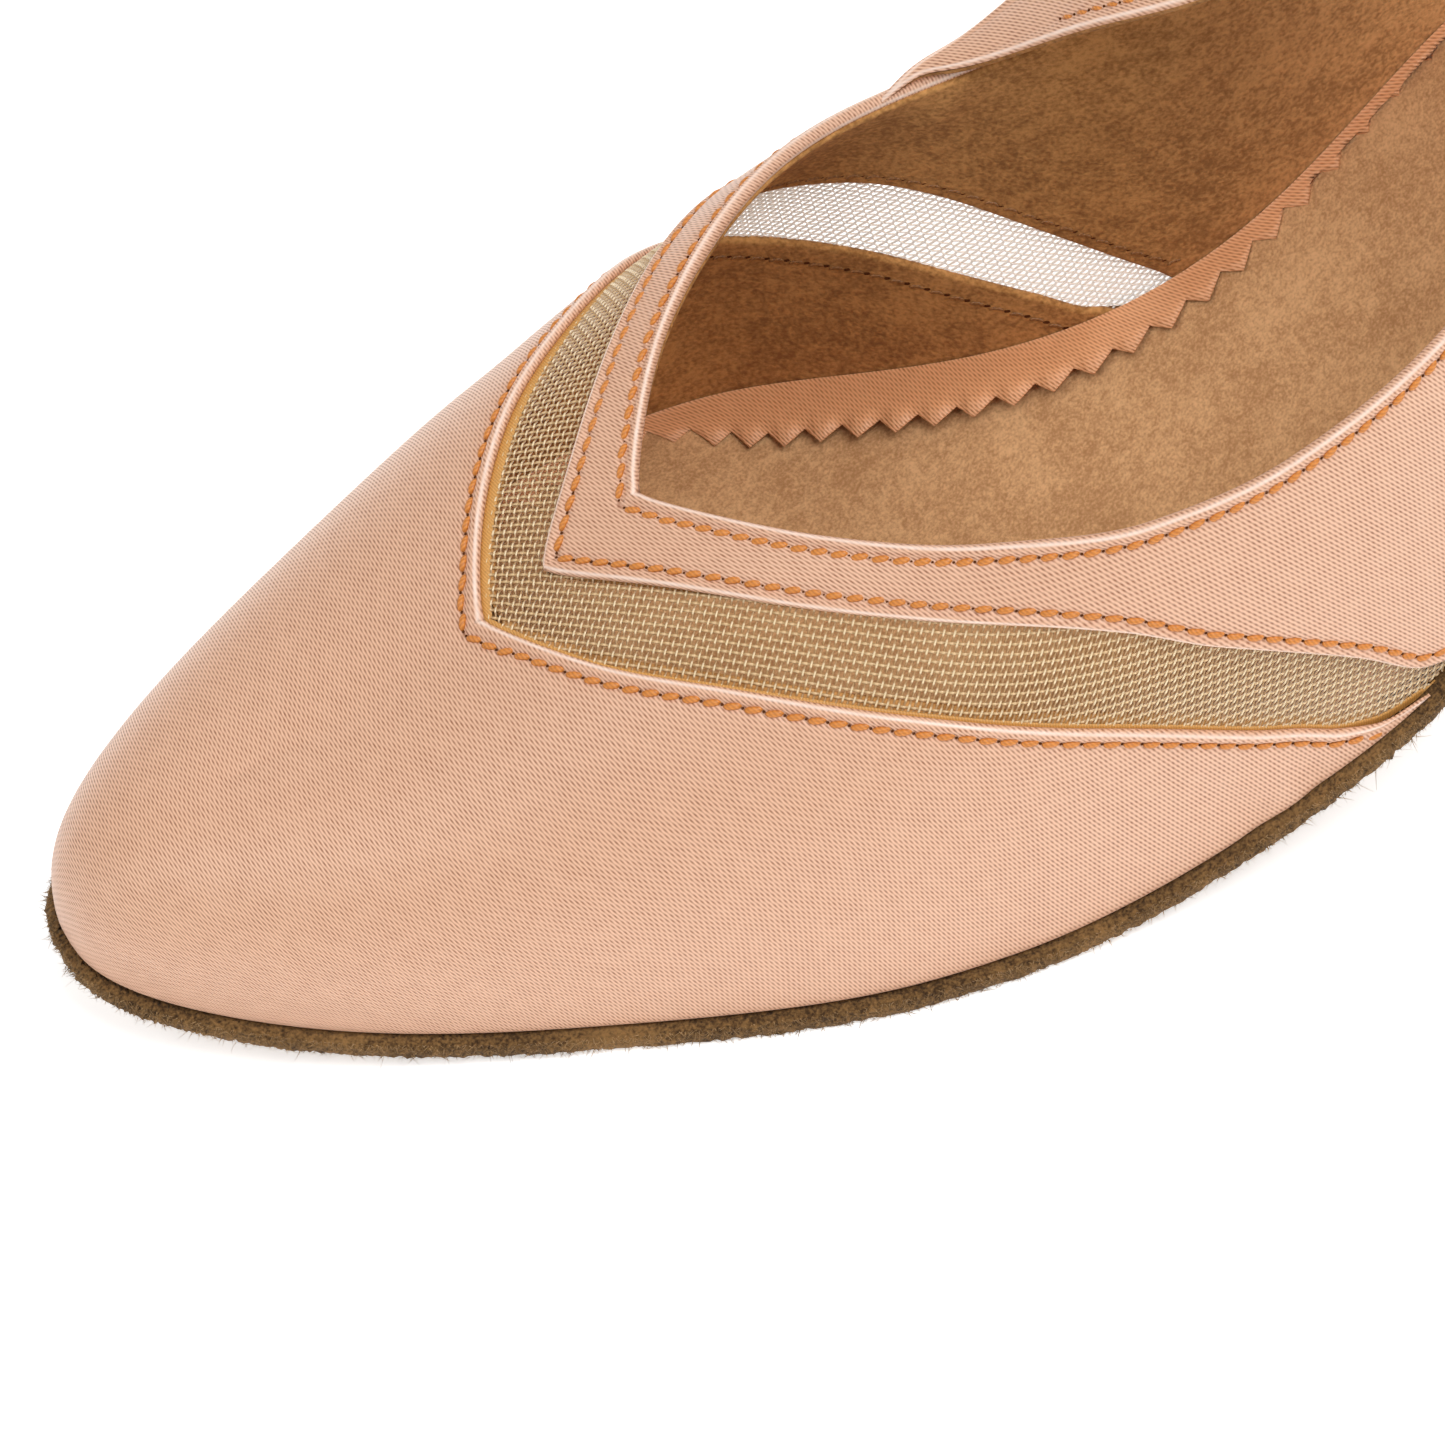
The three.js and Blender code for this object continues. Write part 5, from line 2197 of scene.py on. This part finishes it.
@dataclass(frozen=True)
class Lamp:
    """Soft square light: its direction from the shoe, distance, size and power."""

    name: str
    azimuth: float
    elevation: float
    away: float
    size: float
    power: float


@dataclass
class Studio:
    """Pale floor, soft lights and the camera."""

    azimuth: float = 162.9
    elevation: float = 53.0
    roll: float = -8.05
    distance: float = 1.0
    target: Triple = (0.0569, 0.0113, 0.02)
    lens: float = 259.5
    clip: float = 0.05
    floor_size: float = 4.0
    air: tuple[float, float, float, float] = (1.0, 0.99, 0.98, 1.0)
    air_strength: float = 0.42
    lamps: tuple[Lamp, ...] = table(
        Lamp,
        ("key", 203, 66, 1.3, 0.6, 7.4),
        ("side", 100, 50, 1.4, 0.6, 4.0),
        ("heel", 232, 58, 0.5, 0.2, 0.4),
        ("back", -25, 42, 1.5, 0.9, 3.4),
    )

    def build(self) -> None:
        """Sets everything up."""
        self.floor()
        self.camera()
        bpy.context.scene.view_settings.view_transform = "Standard"
        for lamp in self.lamps:
            self.light(lamp)
        world = bpy.data.worlds.new("studio_air")
        world.use_nodes = True
        air = world.node_tree.nodes["Background"].inputs
        air["Color"].default_value, air["Strength"].default_value = self.air, self.air_strength
        bpy.context.scene.world = world

    def floor(self) -> None:
        """A plain pale floor."""
        half = self.floor_size / 2
        corners = [(-half, -half, 0), (half, -half, 0), (half, half, 0), (-half, half, 0)]
        mesh = bpy.data.meshes.new("floor")
        mesh.from_pydata(corners, [], [(0, 1, 2, 3)])
        sockets = {"Base Color": (0.95, 0.95, 0.95), "Roughness": 0.85}
        sockets |= {"Emission Color": (1.0, 1.0, 1.0), "Emission Strength": 0.55}
        mesh.materials.append(Graph("pale_floor").surface(sockets))
        self.placed("floor", mesh)

    @staticmethod
    def placed(name: str, data: bpy.types.ID) -> Thing:
        """Puts an object with its data into the scene.

        Args:
            name: name of the object.
            data: its mesh, light or camera.

        Returns:
            The object.
        """
        thing = bpy.data.objects.new(name, data)
        bpy.context.scene.collection.objects.link(thing)
        return thing

    @staticmethod
    def direction(azimuth: float, elevation: float) -> Vector:
        """Direction from the shoe towards a place given by its azimuth and elevation."""
        a, e = math.radians(azimuth), math.radians(elevation)
        return Vector((math.sin(a) * math.cos(e), -math.cos(a) * math.cos(e), math.sin(e)))

    def light(self, lamp: Lamp) -> None:
        """Adds a light that faces the shoe.

        Args:
            lamp: the light.
        """
        data = bpy.data.lights.new(lamp.name, "AREA")
        data.size, data.energy = lamp.size, lamp.power
        back = self.direction(lamp.azimuth, lamp.elevation)
        light = self.placed(lamp.name, data)
        light.location = back * lamp.away
        light.rotation_euler = back.to_track_quat("Z", "Y").to_euler()

    def camera(self) -> None:
        """The camera, at the photograph's angle to the shoe."""
        back = self.direction(self.azimuth, self.elevation)
        right = Vector((0, 0, 1)).cross(back).normalized()
        up = back.cross(right)
        c, s = math.cos(math.radians(self.roll)), math.sin(math.radians(self.roll))
        rotation = Matrix((right * c + up * s, up * c - right * s, back)).transposed().to_4x4()
        data = bpy.data.cameras.new("camera")
        data.lens, data.clip_start = self.lens, self.clip
        camera = self.placed("camera", data)
        camera.matrix_world = Matrix.Translation(Vector(self.target) + back * self.distance) @ rotation
        bpy.context.scene.camera = camera


def finishes() -> dict[str, Material]:
    """Makes every finish once.

    Returns:
        The materials by name.
    """
    made = (
        Satin("satin_vamp"),
        Satin("satin_band"),
        Satin("satin_strap", math.radians(62)),
        Satin("satin_heel", math.radians(30)),
        # The rand's satin is tinted a deeper orange than the rest for painted shade: the warm shade and light
        # reflected from the lining by the wall.
        Satin("satin_rand", math.radians(40), (0.95, 0.49, 0.25), (0.48, 0.18, 0.06)),
        # The lining's last colour is its painted pool of light towards the heel.
        Nap("lining", (0.6, 0.3, 0.1), (0.27, 0.115, 0.03), 2.0, 0.5, sheen=0.08, brushed=(0.86, 0.52, 0.24)),
        Nap("sock", (0.76, 0.45, 0.22), (0.44, 0.22, 0.09)),
        Nap("suede_edge", (0.27, 0.145, 0.05), (0.035, 0.016, 0.005), clump=0.7, depth=0.5, sheen=0.1),
        Nap("fibre", (0.48, 0.30, 0.13), (0.12, 0.06, 0.02)),
        Thread("thread", (0.76, 0.285, 0.048), (0.38, 0.11, 0.015)),
        Thread("inner_thread", (0.36, 0.16, 0.05), (0.14, 0.06, 0.02)),
        Thread("tape", (0.72, 0.37, 0.10), (0.42, 0.19, 0.04)),
        # Near-black beads of painted shade at the stitch holes, which show only shade.
        Thread("hole", (0.12, 0.04, 0.013), (0.06, 0.02, 0.007), roughness=0.9, gloss=0.05),
        # Net yarns: the first colour holds painted shade, the second a painted highlight.
        Yarn("net_weft", (0.50, 0.31, 0.14), (0.74, 0.53, 0.29)),
        Yarn("net_warp", (0.44, 0.26, 0.11), (0.90, 0.74, 0.48)),
    )
    return {finish.name: finish.make() for finish in made}


def main() -> None:
    """Builds the shoe piece by piece and reports each."""
    logging.basicConfig(level=logging.INFO, format="%(name)s: %(message)s")
    last = Last()
    Studio().build()
    made = finishes()
    for maker in (Outsole, Insole, Heel, Upper, InstepStrap):
        for piece in maker(last, made).build():
            LOG.info("%s has %d faces", piece.name, len(piece.data.polygons))


if __name__ == "__main__":
    main()
